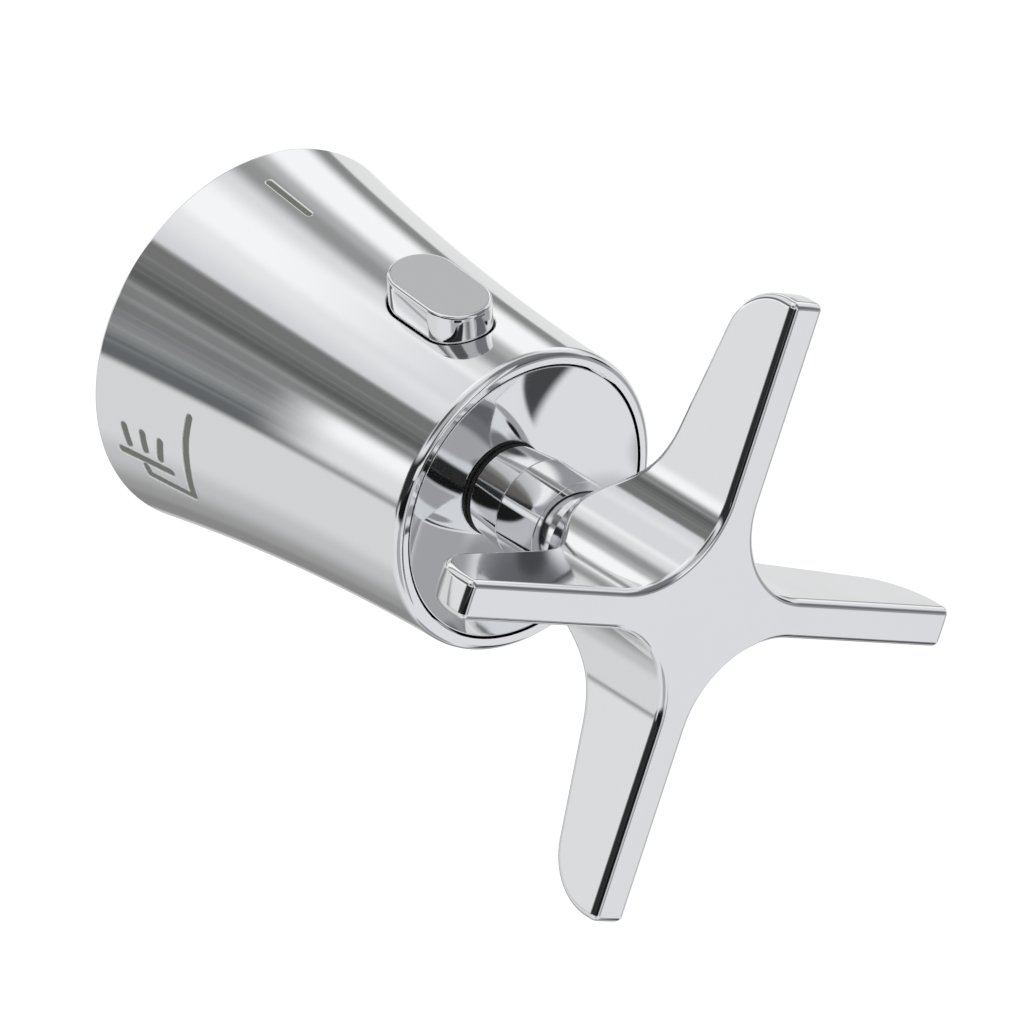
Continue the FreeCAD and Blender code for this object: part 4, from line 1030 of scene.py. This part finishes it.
def side_view(step):
    """Samples (radius, depth, direction angle) from the front edge to the end of the hub."""
    back, cone = turn_of_line(ARM_END, ARM_ROOT), turn_of_line(ARM_ROOT, CONE_END)
    back_way = np.array([math.cos(back), math.sin(back)])
    cone_way = np.array([math.cos(cone), math.sin(cone)])
    tip_radius = ARM_REACH - TIP_ROUND
    tip_depth = ARM_END[1] + (-TIP_ROUND - (tip_radius - ARM_END[0]) * back_way[0]) / back_way[1]
    root = ARM_ROOT + ROOT_ROUND * (back_way + cone_way) / (1 + back_way @ cone_way)
    down = np.array([0.0, 1.0])
    hub = CONE_END - HUB_END_ROUND * (cone_way + down) / (1 + cone_way @ down)

    def arc(centre, radius, start, end, hollow=False):
        """An arc with samples about a step apart."""
        count = max(4, round(abs(end - start) * radius / step))
        return on_arc(centre, radius, start, end, count + 1, hollow)

    def straight(start, end):
        """Samples about a step apart between two samples, without them."""
        count = max(2, round(np.linalg.norm(end[:2] - start[:2]) / step))
        return start + (end - start) * (np.arange(1, count) / count)[:, None]

    front = on_arc((ARM_REACH - CROSS_EDGE, CROSS_EDGE), CROSS_EDGE, -math.pi / 2, 0.0,
                   FRONT_STEPS)
    tip = arc((tip_radius, tip_depth), TIP_ROUND, 0.0, back)
    sweep = arc(root, ROOT_ROUND, back, cone, hollow=True)
    end = on_arc(hub, HUB_END_ROUND, cone, math.pi / 2, END_ROWS)
    middle = (front[-1] + tip[0]) / 2
    return front, middle[None], tip, straight(tip[-1], sweep[0]), sweep, straight(
        sweep[-1], end[0]), end


front, end_middle, tip, back_run, sweep, _, hub_end = side_view(VIEW_STEP)
fine = side_view(FINE_STEP)
fine_back = np.concatenate([fine[2][-2:], *fine[3:6], fine[6][:1]])[::-1]


def at_inner(inner_radius):
    """The sample of the back whose rolling ball has its centre at a radius."""
    centre = fine_back[:, 0] - CROSS_EDGE * np.cos(fine_back[:, 2])
    return np.stack([np.interp(inner_radius, centre, fine_back[:, k]) for k in range(3)], -1)


def at_radius(radius):
    """Depth and direction angle of the back at a radius."""
    return [np.interp(radius, fine_back[:, 0], fine_back[:, k]) for k in (1, 2)]


print("side view:", len(fine_back), "samples, tip depth", round(float(tip[-1, 1]), 2))

# %% [markdown]
# An eighth of the cross
#
# Everything is in the arm's own terms: along the arm, across it and in depth. Rows of the arm run
# from its middle to the edge. In the hub the rows start on the hollow arc and run inwards to the
# middle line of the arm or to the round end of the hub.

# %% Edges of the cross
EDGE_ROWS = 6


def polar(radius, turn, depth):
    """Points from a radius and a turn in the arm's terms: (r cos t, r sin t, depth)."""
    return np.stack([radius * np.cos(turn), radius * np.sin(turn), depth + 0 * turn], -1)


def polar_ways(turn, lean):
    """Directions at a turn that lean by an angle in depth."""
    return np.stack([np.cos(lean) * np.cos(turn), np.cos(lean) * np.sin(turn),
                     np.sin(lean) + 0 * turn], -1)


def edge_grids(samples, turn, outward, first=0):
    """Rounded back edge, side wall and rounded front edge below samples of the back at a turn.
    The ball's centre lies at sample - edge radius times the back's direction, its direction
    swings to the wall's, and the wall starts at the sample with the number first."""
    back_way = polar_ways(turn, samples[:, 2])
    centre = polar(samples[:, 0] - CROSS_EDGE * np.cos(samples[:, 2]), turn,
                   samples[:, 1] - CROSS_EDGE * np.sin(samples[:, 2]))
    outward = np.broadcast_to(outward, back_way.shape)
    round_ways = swing_between(back_way, outward, EDGE_ROWS)
    rounding = centre + CROSS_EDGE * round_ways
    outward, top = outward[first:], rounding[-1, first:]
    foot = top * [1, 1, 0] + [0, 0, CROSS_EDGE]
    wall = foot + (top - foot) * np.linspace(0, 1, 3)[:, None, None]
    swing = np.linspace(0, math.pi / 2, EDGE_ROWS)[:, None, None]
    lip_ways = np.sin(swing) * outward - np.cos(swing) * [0.0, 0.0, 1.0]
    lip = foot + CROSS_EDGE * (lip_ways - outward)
    return [(rounding, round_ways), (wall, np.broadcast_to(outward, wall.shape)), (lip, lip_ways)]


# %% [markdown]
# Half an arm
#
# The rows of an arm fan out from its middle line to the inner edge of the rounding. The last
# sample is where the arm's edge meets the hollow arc of the hub.

# %% Half an arm
ROWS = 8
FILLET_CENTRE = ARM_HALF + HOLLOW
INNER_HALF = ARM_HALF - CROSS_EDGE
LAST_GAP = 0.25
SPLIT_SLOPE = 0.5
SPLIT = math.atan(SPLIT_SLOPE)
ARM_COLUMNS = 15
END_COLUMNS = 11
hub_swing = np.concatenate([np.linspace(0, SPLIT, ARM_COLUMNS)[:-1],
                            np.linspace(SPLIT, math.pi / 4, END_COLUMNS)])
hub_outward = np.stack([np.sin(hub_swing), np.cos(hub_swing), 0 * hub_swing], -1)
hub_inner = FILLET_CENTRE - (HOLLOW + CROSS_EDGE) * hub_outward[:, :2]
hub_inner_radius = np.hypot(hub_inner[:, 0], hub_inner[:, 1])
arm = np.concatenate([front, end_middle, tip, back_run, sweep])
arm_inner = arm[:, 0] - CROSS_EDGE * np.cos(arm[:, 2])
first_back = len(front) + 1
keep_arm = (arm_inner > hub_inner_radius[0] + LAST_GAP) | (np.arange(len(arm)) < first_back)
arm = np.concatenate([arm[keep_arm], at_inner(hub_inner_radius[:1])])
row_share = np.linspace(0, 1, ROWS)[:, None]


def arm_grids():
    """Middle band, rounded edge, side wall and front edge of half an arm: a row lies at a share
    of the turn arcsin(half width / radius)."""
    turn = np.arcsin(INNER_HALF / (arm[:, 0] - CROSS_EDGE * np.cos(arm[:, 2])))
    band = polar(arm[:, 0], row_share * turn, arm[:, 1])
    return [(band, polar_ways(row_share * turn, arm[:, 2]))] + edge_grids(
        arm, turn, [0.0, 1.0, 0.0], first_back)


arm_part = arm_grids()
print("half an arm:", len(arm), "samples")

# %% [markdown]
# An eighth of the hub
#
# The rows of the hub start on the hollow arc and run inwards: first to the middle line of the
# arm, and past a slope of one half to the round end of the hub.

# %% An eighth of the hub
def hub_grids():
    """Back, rounded edge, side wall, front edge and end rounding of an eighth of the hub: radius
    and turn go evenly from the hollow arc to the middle line or the end of the cone."""
    samples = at_inner(hub_inner_radius)
    turn = np.arctan2(hub_inner[:, 1], hub_inner[:, 0])
    turn[-1] = math.pi / 4
    along = np.clip(np.tan(hub_swing) / SPLIT_SLOPE, 0, 1)
    end_radius = samples[0, 0] + (hub_end[0, 0] - samples[0, 0]) * along
    end_turn = np.clip((hub_swing - SPLIT) / (math.pi / 4 - SPLIT), 0, 1) * math.pi / 4
    radius = samples[:, 0] + (end_radius - samples[:, 0]) * row_share
    bearing = turn + (end_turn - turn) * row_share
    depth, lean = at_radius(radius)
    depth[0] = samples[:, 1]
    lean[0] = samples[:, 2]
    ring_turn = end_turn[np.argmax(along > 1 - TINY):][None, :]
    rim = polar(hub_end[:, :1], ring_turn, hub_end[:, 1:2])
    return [(polar(radius, bearing, depth), polar_ways(bearing, lean))] + edge_grids(
        samples, turn, hub_outward) + [(rim, polar_ways(ring_turn, hub_end[:, 2:3]))]


hub_part = hub_grids()
print("an eighth of the hub:", len(hub_inner), "samples")

# %% [markdown]
# Eight times an eighth
#
# Each grid is laid out for four arms and both sides of each. The flat front is a single face,
# drawn through the inner rows of the front rounding. The hexagon socket and the screw hole come
# from the solid and are zipped to the round end of the hub.

# %% Laying out the cross
CROSS_TURN = 25.6
ARMS = 4
SOCKET_REACH = 4.2
SOCKET_COVER = 1
END_NEAR = 0.01
EIGHTHS = [(number, side) for number in range(ARMS) for side in (1, -1)]


def placed(points, arm_number, side, origin=CROSS_FRONT):
    """Points of the arm's own terms, turned to an arm of the cross; directions have origin 0."""
    turn = math.radians(CROSS_TURN + 360 / ARMS * arm_number)
    along = np.array([math.sin(turn), 0, math.cos(turn)])
    across = side * np.array([math.cos(turn), 0, -math.sin(turn)])
    return points[..., :1] * along + points[..., 1:2] * across + (points[..., 2:] + origin) * AXIS


cross_parts = [grid(placed(points, *eighth), placed(ways, *eighth, origin=0))
               for eighth in EIGHTHS for points, ways in arm_part + hub_part]
half_front = np.concatenate([arm_part[0][0][:, 0], arm_part[3][0][0, 1:], hub_part[3][0][0, 1:]])
front_loop = np.concatenate([
    placed(points, number, side) for number in range(ARMS)
    for points, side in ((half_front[:0:-1], -1), (half_front[:-1], 1))])
cross_parts.append(flat_face(front_loop, -AXIS))

socket = lining("cross_handle")
socket_radius = np.hypot(socket["middles"][:, 0], socket["middles"][:, 2])
socket_depth = socket["middles"][:, 1]
socket_keep = (socket_radius < SOCKET_REACH) & (socket_depth > CROSS_FRONT + SOCKET_COVER) & (
    socket_depth < HUB_END - END_NEAR)
socket_ring = socket["points"][open_edge(socket, socket_keep)]
hub_row = hub_part[-1][0][-1]
hub_ring = np.concatenate([placed(hub_row[:-1] if eighth[1] > 0 else hub_row[1:], *eighth)
                           for eighth in EIGHTHS])
cross_parts += [ring_seam(hub_ring, socket_ring, AXIS), lining_part(socket, socket_keep)]
print("socket ring:", len(socket_ring), "points, hub ring:", len(hub_ring))
make_piece("cross_skin", cross_parts, [cross_chrome], "handle", "cross_handle")

# %% [markdown]
# Finishes of the inner pieces
#
# The pieces inside keep their solids. The core and the rings are moulded acetal, the adapter is
# turned brass, screws and clips are stainless steel, and the seals are nitrile rubber.

# %% Plastic, brass, steel and rubber
PLASTIC_PATCH = 5.0
SPARK_GRAIN = 0.25
SPARK_DEPTH = 0.02
METAL_PATCH = 3.0
FEED_DEPTH = 0.01
WAVE_LENGTH = 0.3
BLOOM_PATCH = 1.5


def mottled(tree, place, size, first, second, detail=2.0):
    """Patches of a size in mm, and a colour that drifts between two tones with them."""
    cloud = add_node(tree, "ShaderNodeTexNoise", {
        "Vector": place, "Scale": 1 / (size * MM), "Detail": detail}).outputs[0]
    tone = add_node(tree, "ShaderNodeMix", {0: cloud, 6: colour(first), 7: colour(second)},
                    data_type="RGBA")
    return cloud, tone.outputs[2]


def moulded_plastic():
    """Acetal, moulded in a spark-eroded tool: even light grey with a fine matt texture."""
    material, tree, shader = new_finish("moulded_acetal_light_grey")
    place = add_node(tree, "ShaderNodeTexCoord").outputs["Object"]
    tone = mottled(tree, place, PLASTIC_PATCH, "#c6c8c9", "#d2d3d2")[1]
    grain = add_node(tree, "ShaderNodeTexNoise", {
        "Vector": place, "Scale": 1 / (SPARK_GRAIN * MM), "Detail": 3.0})
    bump = add_node(tree, "ShaderNodeBump", {"Height": grain.outputs[0], "Strength": 0.5,
                                             "Distance": SPARK_DEPTH * MM})
    set_inputs(tree, shader, {"Base Color": tone, "Normal": bump.outputs[0], "Roughness": 0.45,
                              "IOR": 1.48})
    return material


def turned_metal(name, code, second, roughness, pitch):
    """Turned stock: fine rings round the axis from the tool's feed, one for each pitch in mm,
    and darker patches. A wave texture of scale 1 repeats after about 0.3 m."""
    material, tree, shader = new_finish(name)
    place = add_node(tree, "ShaderNodeTexCoord").outputs["Object"]
    cloud, tone = mottled(tree, place, METAL_PATCH, code, second)
    feed = add_node(tree, "ShaderNodeTexWave", {
        "Vector": place, "Scale": WAVE_LENGTH / (pitch * MM),
        "Distortion": 0.6},
        wave_type="BANDS", bands_direction="Y")
    rough = add_node(tree, "ShaderNodeMapRange", {
        "Value": cloud, "To Min": roughness - 0.06, "To Max": roughness + 0.08})
    bump = add_node(tree, "ShaderNodeBump", {"Height": feed.outputs[0], "Strength": 0.3,
                                             "Distance": FEED_DEPTH * MM})
    set_inputs(tree, shader, {"Base Color": tone, "Roughness": rough.outputs[0],
                              "Normal": bump.outputs[0], "Metallic": 1.0})
    return material


def seal_rubber():
    """Nitrile rubber: black, with a faint bloom in patches."""
    material, tree, shader = new_finish("nitrile_rubber_black")
    place = add_node(tree, "ShaderNodeTexCoord").outputs["Object"]
    cloud, tone = mottled(tree, place, BLOOM_PATCH, "#121212", "#1d1d1c", detail=4.0)
    rough = add_node(tree, "ShaderNodeMapRange", {"Value": cloud, "To Min": 0.5, "To Max": 0.7})
    set_inputs(tree, shader, {"Base Color": tone, "Roughness": rough.outputs[0], "IOR": 1.52})
    return material


FINISHES = {
    "core_plastic": moulded_plastic(),
    "brass": turned_metal("turned_brass", "#c9a35c", "#b98f49", 0.3, 0.2),
    "steel": turned_metal("stainless_steel_plain", "#b4b4b3", "#a2a3a4", 0.32, 0.15),
    "rubber": seal_rubber(),
    "chrome": bright_chrome,
}
for part in frame["record"]["subparts"]:
    mesh = nodes[part["node"]].data
    mesh.materials.clear()
    mesh.materials.append(FINISHES[part["material_slot"]])
print("finishes:", sorted(FINISHES))

# %% [markdown]
# The spring under the button
#
# A solid can't be pressed together, so it would stick out of the button's face when that goes
# down. A copy of the coil stands for it, with a mesh of its own.

# %% The spring under the button
coil = lining("button_spring")
spring = make_piece("button_spring_coil", [lining_part(coil, slice(None))],
                    [FINISHES["steel"]], "handle", "button_spring")
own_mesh(spring)

# %% [markdown]
# The studio
#
# A photographer lights chrome by what it mirrors: bright panels with dark flags between them,
# which give the long soft streaks along the sleeve. Lamps would only give points of glare. So
# the studio is painted into the world by direction, for mirror rays alone. Behind the handle,
# long panels lie round its axis and are chosen by the angle round it. Each has a name, the
# angles in degrees where it starts and ends, and a tone.

# %% Panels behind the handle
PANELS = [
    ("dim ceiling", -180, -180, "#9d9d9c"),
    ("flag above left", -170, -157, "#8c8c8b"),
    ("thin card on the left", -148, -140, "#c6c6c6"),
    ("bright edge of the long panel", -130, -130, "#fafafa"),
    ("long panel on the left", -118, -95, "#e6e6e6"),
    ("thin flag", -91, -86, "#8d8d8d"),
    ("key panel", -72, -56, "#ffffff"),
    ("grey beside the key", -45, -45, "#b4b4b4"),
    ("flag above", -37, -33, "#989898"),
    ("white card above", -22, -22, "#e2e2e3"),
    ("top panel", -7, 4, "#ffffff"),
    ("fall of the top panel", 12, 12, "#eeeeef"),
    ("end of its fall", 29, 29, "#dcdcdf"),
    ("dark flag", 32, 40, "#767675"),
    ("darkest part of the flag", 50, 50, "#5f5f5e"),
    ("low card", 57, 57, "#868685"),
    ("its middle", 68, 68, "#7c7c7c"),
    ("its end", 80, 80, "#8c8e8f"),
    ("slit", 87, 94, "#66686a"),
    ("panel below", 98.5, 136, "#dcdcdd"),
    ("floor behind it", 154, 154, "#c6c6c7"),
]
STREAK_SIDES = ((31, 36), (95, 91))
STREAK_SCALE = 14.0
STREAK_NOISE = (0.5, 0.7)
STREAK_SHARE = 0.3
STREAK_TONE = "#a8acae"
VEIL_SIDES = ((-14, -7), (20, 10))
VEIL_DEPTH = (0.5, 0.675)
VEIL_TONE = "#dfdfe2"
WINDOW_SIDES = ((58, 67), (98, 88))
WINDOW_DEPTH = (0.54, 0.6)
GLASS_FALL = (70, 82)
GLASS_TONES = ("#ffffff", "#e4e5e6")
SIDE_WALL_SIDES = ((52, 62), (91, 83))
SIDE_WALL_DEPTH = (0.45, 0.3)
SIDE_WALL = "#2c2c2e"
print("panels:", len(PANELS))

# %% [markdown]
# In front of the handle
#
# Rays that go forward meet a pale wall with soft round cards on it: each has a name, a
# direction, the cosines where its edge starts and where it is full, and a tone. A three-sided
# flag hangs below on the right, a tall doorway on the left opens into a dark room, and round the
# lens lies a ring of tones that is chosen by angle again.

# %% Wall, cards and ring round the lens
FRONT_WALL = "#e3e4e7"
CARDS = [
    ("grey card on the right", (0.741, -0.66, -0.123), 0.94, 0.98, "#98989b"),
    ("grey card low on the right", (0.86, -0.30, -0.42), 0.93, 0.975, "#a6a6a9"),
    ("dark card high on the right", (0.658, -0.698, 0.282), 0.88, 0.97, "#6c6c70"),
    ("grey table", (-0.05, -0.10, -0.99), 0.965, 0.985, "#9a9a9c"),
    ("grey card low on the left", (-0.50, -0.70, -0.51), 0.93, 0.97, "#adadb0"),
    ("grey ceiling", (-0.15, -0.69, 0.71), 0.90, 0.96, "#b4b4b6"),
    ("dark ceiling on the right", (0.52, -0.46, 0.72), 0.90, 0.96, "#7a7a7e"),
    ("small flag right of the lens", (0.52, -0.85, 0.04), 0.985, 0.996, "#4c4c4e"),
    ("grey card low right of the lens", (0.39, -0.87, -0.31), 0.965, 0.985, "#959598"),
    ("small flag far right", (0.93, -0.36, -0.04), 0.985, 0.995, "#1c1c1e"),
    ("flag high on the left", (-0.48, -0.3, 0.82), 0.94, 0.975, "#5a5a5c"),
]
FLAG_CORNERS = [(0.57, 0.15, -0.93), (0.2, 0.02, -1.04), (0.36, -0.6, -0.72)]
FLAG_SOFT = [0.1, 0.09, 0.02]
FLAG_TONE = "#47474a"
DOORWAY = (-0.66, -0.745, 0.09)
DOORWAY_TALL = (0.72, 0.8)
DOORWAY_ACROSS = (-0.11, 0.21, -0.972)
DOORWAY_WIDE = (0.2, 0.1)
ROOM_DARK = "#151517"
LENS = (0.0, -1.0, 0.0)
LENS_NEAR = (0.885, 0.94)
ROUND_LENS = [
    ("wall below the lens", -180, -165, "#c6c6ca"),
    ("grey card to the right below", -148, -118, "#a0a0a4"),
    ("lamp on the right", -90, -72, "#ffffff"),
    ("white wall above", -52, -52, "#dcdcdf"),
    ("its dim end", -14, -14, "#c8c8ca"),
    ("dark room on the left", 4, 4, "#858583"),
    ("its depth", 22, 40, "#676562"),
    ("curtain", 62, 62, "#4b4947"),
    ("open door", 92, 138, "#191919"),
    ("wall below the door", 150, 160, "#c4c4c8"),
]
print("cards:", len(CARDS), "tones round the lens:", len(ROUND_LENS))

# %% [markdown]
# Shares and layers
#
# Each thing in the studio is a tone and a share from 0 to 1 that says where it is seen. Soft
# steps multiplied together make a share, and tones are laid over one another by their shares, as
# a painter glazes.

# %% Shares and layers
def share_of(tree, way, steps, share=1.0):
    """Product of smooth steps, each from 0 at its start to 1 at its end. A step goes by a socket
    or, given a direction, by the product of its vector and the ray's."""
    for guide, start, end in steps:
        if not isinstance(guide, bpy.types.NodeSocket):
            guide = add_node(tree, "ShaderNodeVectorMath", {0: way, 1: guide},
                             operation="DOT_PRODUCT").outputs["Value"]
        step = add_node(tree, "ShaderNodeMapRange", {
            "Value": guide, "From Min": start, "From Max": end}, interpolation_type="SMOOTHSTEP")
        share = add_node(tree, "ShaderNodeMath", {0: share, 1: step.outputs[0]},
                         operation="MULTIPLY").outputs[0]
    return share


def by_angle(turn, *steps):
    """Steps of the angle round the axis, from degrees."""
    return [(turn, math.radians(start), math.radians(end)) for start, end in steps]


def painted(tree, base, layers):
    """Tones laid over a base by their shares; a tone is a hex code or a socket."""
    base = colour(base) if isinstance(base, str) else base
    for share, tone in layers:
        tone = colour(tone) if isinstance(tone, str) else tone
        base = add_node(tree, "ShaderNodeMix", {0: share, 6: base, 7: tone},
                        data_type="RGBA").outputs[2]
    return base


def round_about(tree, turn, panels):
    """Tones of panels by their angle round the axis, eased from one to the next."""
    place = add_node(tree, "ShaderNodeMapRange", {"Value": turn, "From Min": -math.pi,
                                                  "From Max": math.pi})
    ramp = add_node(tree, "ShaderNodeValToRGB", {0: place.outputs[0]})
    stops = [(angle, code) for name, start, end, code in panels
             for angle in sorted({start, end})] + [(180, panels[0][3])]
    elements = ramp.color_ramp.elements
    ramp.color_ramp.interpolation = "EASE"
    while len(elements) < len(stops):
        elements.new(0.5)
    for element, (angle, code) in zip(elements, stops):
        element.position = (angle + 180) / 360
        element.color = colour(code)
    return ramp.outputs[0]


# %% [markdown]
# The world
#
# Thin streaks, a veil and a window go over the rear panels, and the front goes over to the rear
# by the depth of the ray's direction. A dark wall stands on the far left, for the edges of the
# cross. The camera itself sees plain white, and matt surfaces get an even soft light.

# %% The world
FRONT_TO_REAR = (-0.1, 0.35)
MATT_LIGHT = "#e6e6e6"


def rear_panels(tree, way, turn, depth):
    """The panels, streaks in their dark flag, a veil, and the window seen far back only."""
    noise = add_node(tree, "ShaderNodeTexNoise", {"W": turn, "Scale": STREAK_SCALE,
                                                  "Detail": 1.0}, noise_dimensions="1D")
    streaks = add_node(tree, "ShaderNodeMapRange", {
        "Value": noise.outputs[0], "From Min": STREAK_NOISE[0], "From Max": STREAK_NOISE[1],
        "To Max": STREAK_SHARE}).outputs[0]
    in_flag = share_of(tree, way, by_angle(turn, *STREAK_SIDES), streaks)
    veil = share_of(tree, way, by_angle(turn, *VEIL_SIDES) + [(depth, *VEIL_DEPTH)])
    window = share_of(tree, way, by_angle(turn, *WINDOW_SIDES) + [(depth, *WINDOW_DEPTH)])
    fall = share_of(tree, way, by_angle(turn, GLASS_FALL))
    glass = painted(tree, GLASS_TONES[0], [(fall, GLASS_TONES[1])])
    return painted(tree, round_about(tree, turn, PANELS),
                   [(in_flag, STREAK_TONE), (veil, VEIL_TONE), (window, glass)])


def front_wall(tree, way, turn):
    """A pale wall with cards and a flag, the dark of the doorway, and what is round the lens.
    The flag's sides are planes through two of its corners, facing the third."""
    cards = [(share_of(tree, way, [(centre, edge, full)]), code)
             for name, centre, edge, full, code in CARDS]
    sides = []
    for place, soft in enumerate(FLAG_SOFT):
        start, end, third = (Vector(FLAG_CORNERS[(place + step) % 3]) for step in range(3))
        inward = start.cross(end).normalized()
        sides.append((inward if inward.dot(third) > 0 else -inward, 0.0, soft))
    edge, full = DOORWAY_WIDE
    open_room = share_of(tree, way, [(DOORWAY_ACROSS, edge, full), (DOORWAY_ACROSS, -edge, -full),
                                     (DOORWAY, *DOORWAY_TALL)])
    return painted(tree, FRONT_WALL, cards + [
        (share_of(tree, way, sides), FLAG_TONE), (open_room, ROOM_DARK),
        (share_of(tree, way, [(LENS, *LENS_NEAR)]), round_about(tree, turn, ROUND_LENS))])


def build_world():
    """World shader: white for the camera, the studio for mirror rays, even light for the rest."""
    world = bpy.data.worlds.new("studio")
    world.use_nodes = True
    tree = world.node_tree
    tree.nodes.clear()
    way = add_node(tree, "ShaderNodeTexCoord").outputs["Generated"]
    across, depth, height = add_node(tree, "ShaderNodeSeparateXYZ", {0: way}).outputs
    left = add_node(tree, "ShaderNodeMath", {0: across, 1: -1.0}, operation="MULTIPLY")
    turn = add_node(tree, "ShaderNodeMath", {0: left.outputs[0], 1: height},
                    operation="ARCTAN2").outputs[0]
    at_rear = share_of(tree, way, [(depth, *FRONT_TO_REAR)])
    far_left = share_of(tree, way,
                        by_angle(turn, *SIDE_WALL_SIDES) + [(depth, *SIDE_WALL_DEPTH)])
    seen = painted(tree, front_wall(tree, way, turn),
                   [(at_rear, rear_panels(tree, way, turn, depth)), (far_left, SIDE_WALL)])
    rays = add_node(tree, "ShaderNodeLightPath").outputs
    final = painted(tree, MATT_LIGHT,
                    [(rays["Is Glossy Ray"], seen), (rays["Is Camera Ray"], "#ffffff")])
    glow = add_node(tree, "ShaderNodeBackground", {"Color": final, "Strength": 1.0})
    add_node(tree, "ShaderNodeOutputWorld", {"Surface": glow.outputs[0]})
    bpy.context.scene.world = world
    print("world:", len(tree.nodes), "nodes")


build_world()

# %% [markdown]
# Floor and lamp
#
# The floor is white studio paper. It lies well below the handle and is left out of mirror rays,
# so that the panels stay what the chrome shows. One large soft lamp gives the matt pieces a
# direction of light.

# %% Floor and lamp
FLOOR_DROP = 150.0
FLOOR_SIZE = 6000.0
FLOOR_TONES = ("#f4f4f3", "#fbfbfa")
PAPER_PATCH = 1000 / 3
PAPER_LIFT = 0.22
LAMP_PLACE = (-0.9, -0.6, 1.4)
LAMP_SIZE = 1.2
LAMP_POWER = 6.0


def pale_paper():
    """White studio paper: matt, with a very slight mottling, and a little lift in the picture."""
    material, tree, shader = new_finish("studio_paper_white")
    place = add_node(tree, "ShaderNodeTexCoord").outputs["Object"]
    tone = mottled(tree, place, PAPER_PATCH, *FLOOR_TONES)[1]
    camera_ray = add_node(tree, "ShaderNodeLightPath").outputs["Is Camera Ray"]
    lift = add_node(tree, "ShaderNodeMath", {0: camera_ray, 1: PAPER_LIFT}, operation="MULTIPLY")
    set_inputs(tree, shader, {"Base Color": tone, "Roughness": 0.9,
                              "Emission Color": colour("#ffffff"),
                              "Emission Strength": lift.outputs[0]})
    return material


half, low = FLOOR_SIZE / 2 * MM, -FLOOR_DROP * MM
paper = bpy.data.meshes.new("paper")
paper.from_pydata([(-half, -half, low), (half, -half, low), (half, half, low),
                   (-half, half, low)], [], [(0, 1, 2, 3)])
paper.materials.append(pale_paper())
floor = bpy.data.objects.new("paper_floor", paper)
bpy.context.scene.collection.objects.link(floor)
floor.visible_glossy = False

lamp = bpy.data.lights.new("soft_lamp", "AREA")
lamp.shape = "DISK"
lamp.size = LAMP_SIZE
lamp.energy = LAMP_POWER
soft = bpy.data.objects.new("soft_lamp", lamp)
soft.location = LAMP_PLACE
soft.rotation_euler = (-Vector(LAMP_PLACE)).to_track_quat("-Z", "Y").to_euler()
soft.visible_glossy = False
bpy.context.scene.collection.objects.link(soft)
print("floor", FLOOR_DROP, "mm below the axis, lamp at", LAMP_PLACE, "m")

# %% [markdown]
# The camera
#
# The camera stands far off with a long lens, as for a catalogue, so that lines that are parallel
# stay almost parallel. It looks from the left, a little above and in front, and is rolled a
# little to the side.

# %% Camera
CAMERA_TURN = -37.4587
CAMERA_RISE = 31.7819
CAMERA_ROLL = -2.7476
CAMERA_AWAY = 2161.5147
CAMERA_SIDE = 1.380166
CAMERA_DOWN = 1.111016
FOCAL = 703.125
SENSOR = 36.0


def place_camera():
    """Camera looking at the centre of the lip from an azimuth and an elevation, with a roll."""
    turn, rise, roll = (math.radians(v) for v in (CAMERA_TURN, CAMERA_RISE, CAMERA_ROLL))
    back = Vector((math.sin(turn) * math.cos(rise), -math.cos(turn) * math.cos(rise),
                   math.sin(rise)))
    level = Vector((math.cos(turn), math.sin(turn), 0.0))
    upright = back.cross(level)
    right = math.cos(roll) * level + math.sin(roll) * upright
    up = math.cos(roll) * upright - math.sin(roll) * level
    data = bpy.data.cameras.new("catalogue_camera")
    data.lens = FOCAL
    data.sensor_width = SENSOR
    data.clip_start = 0.1
    data.clip_end = 100.0
    camera = bpy.data.objects.new("catalogue_camera", data)
    bpy.context.scene.collection.objects.link(camera)
    spot = Vector((0, LIP, 0)) + back * CAMERA_AWAY - right * CAMERA_SIDE - up * CAMERA_DOWN
    axes = np.eye(4)
    axes[:3, 0], axes[:3, 1], axes[:3, 2], axes[:3, 3] = right, up, back, spot * MM
    camera.matrix_world = Matrix(axes.tolist())
    bpy.context.scene.camera = camera
    print("camera at", [round(v, 1) for v in spot], "mm")


place_camera()
bpy.context.scene.view_settings.view_transform = "Standard"
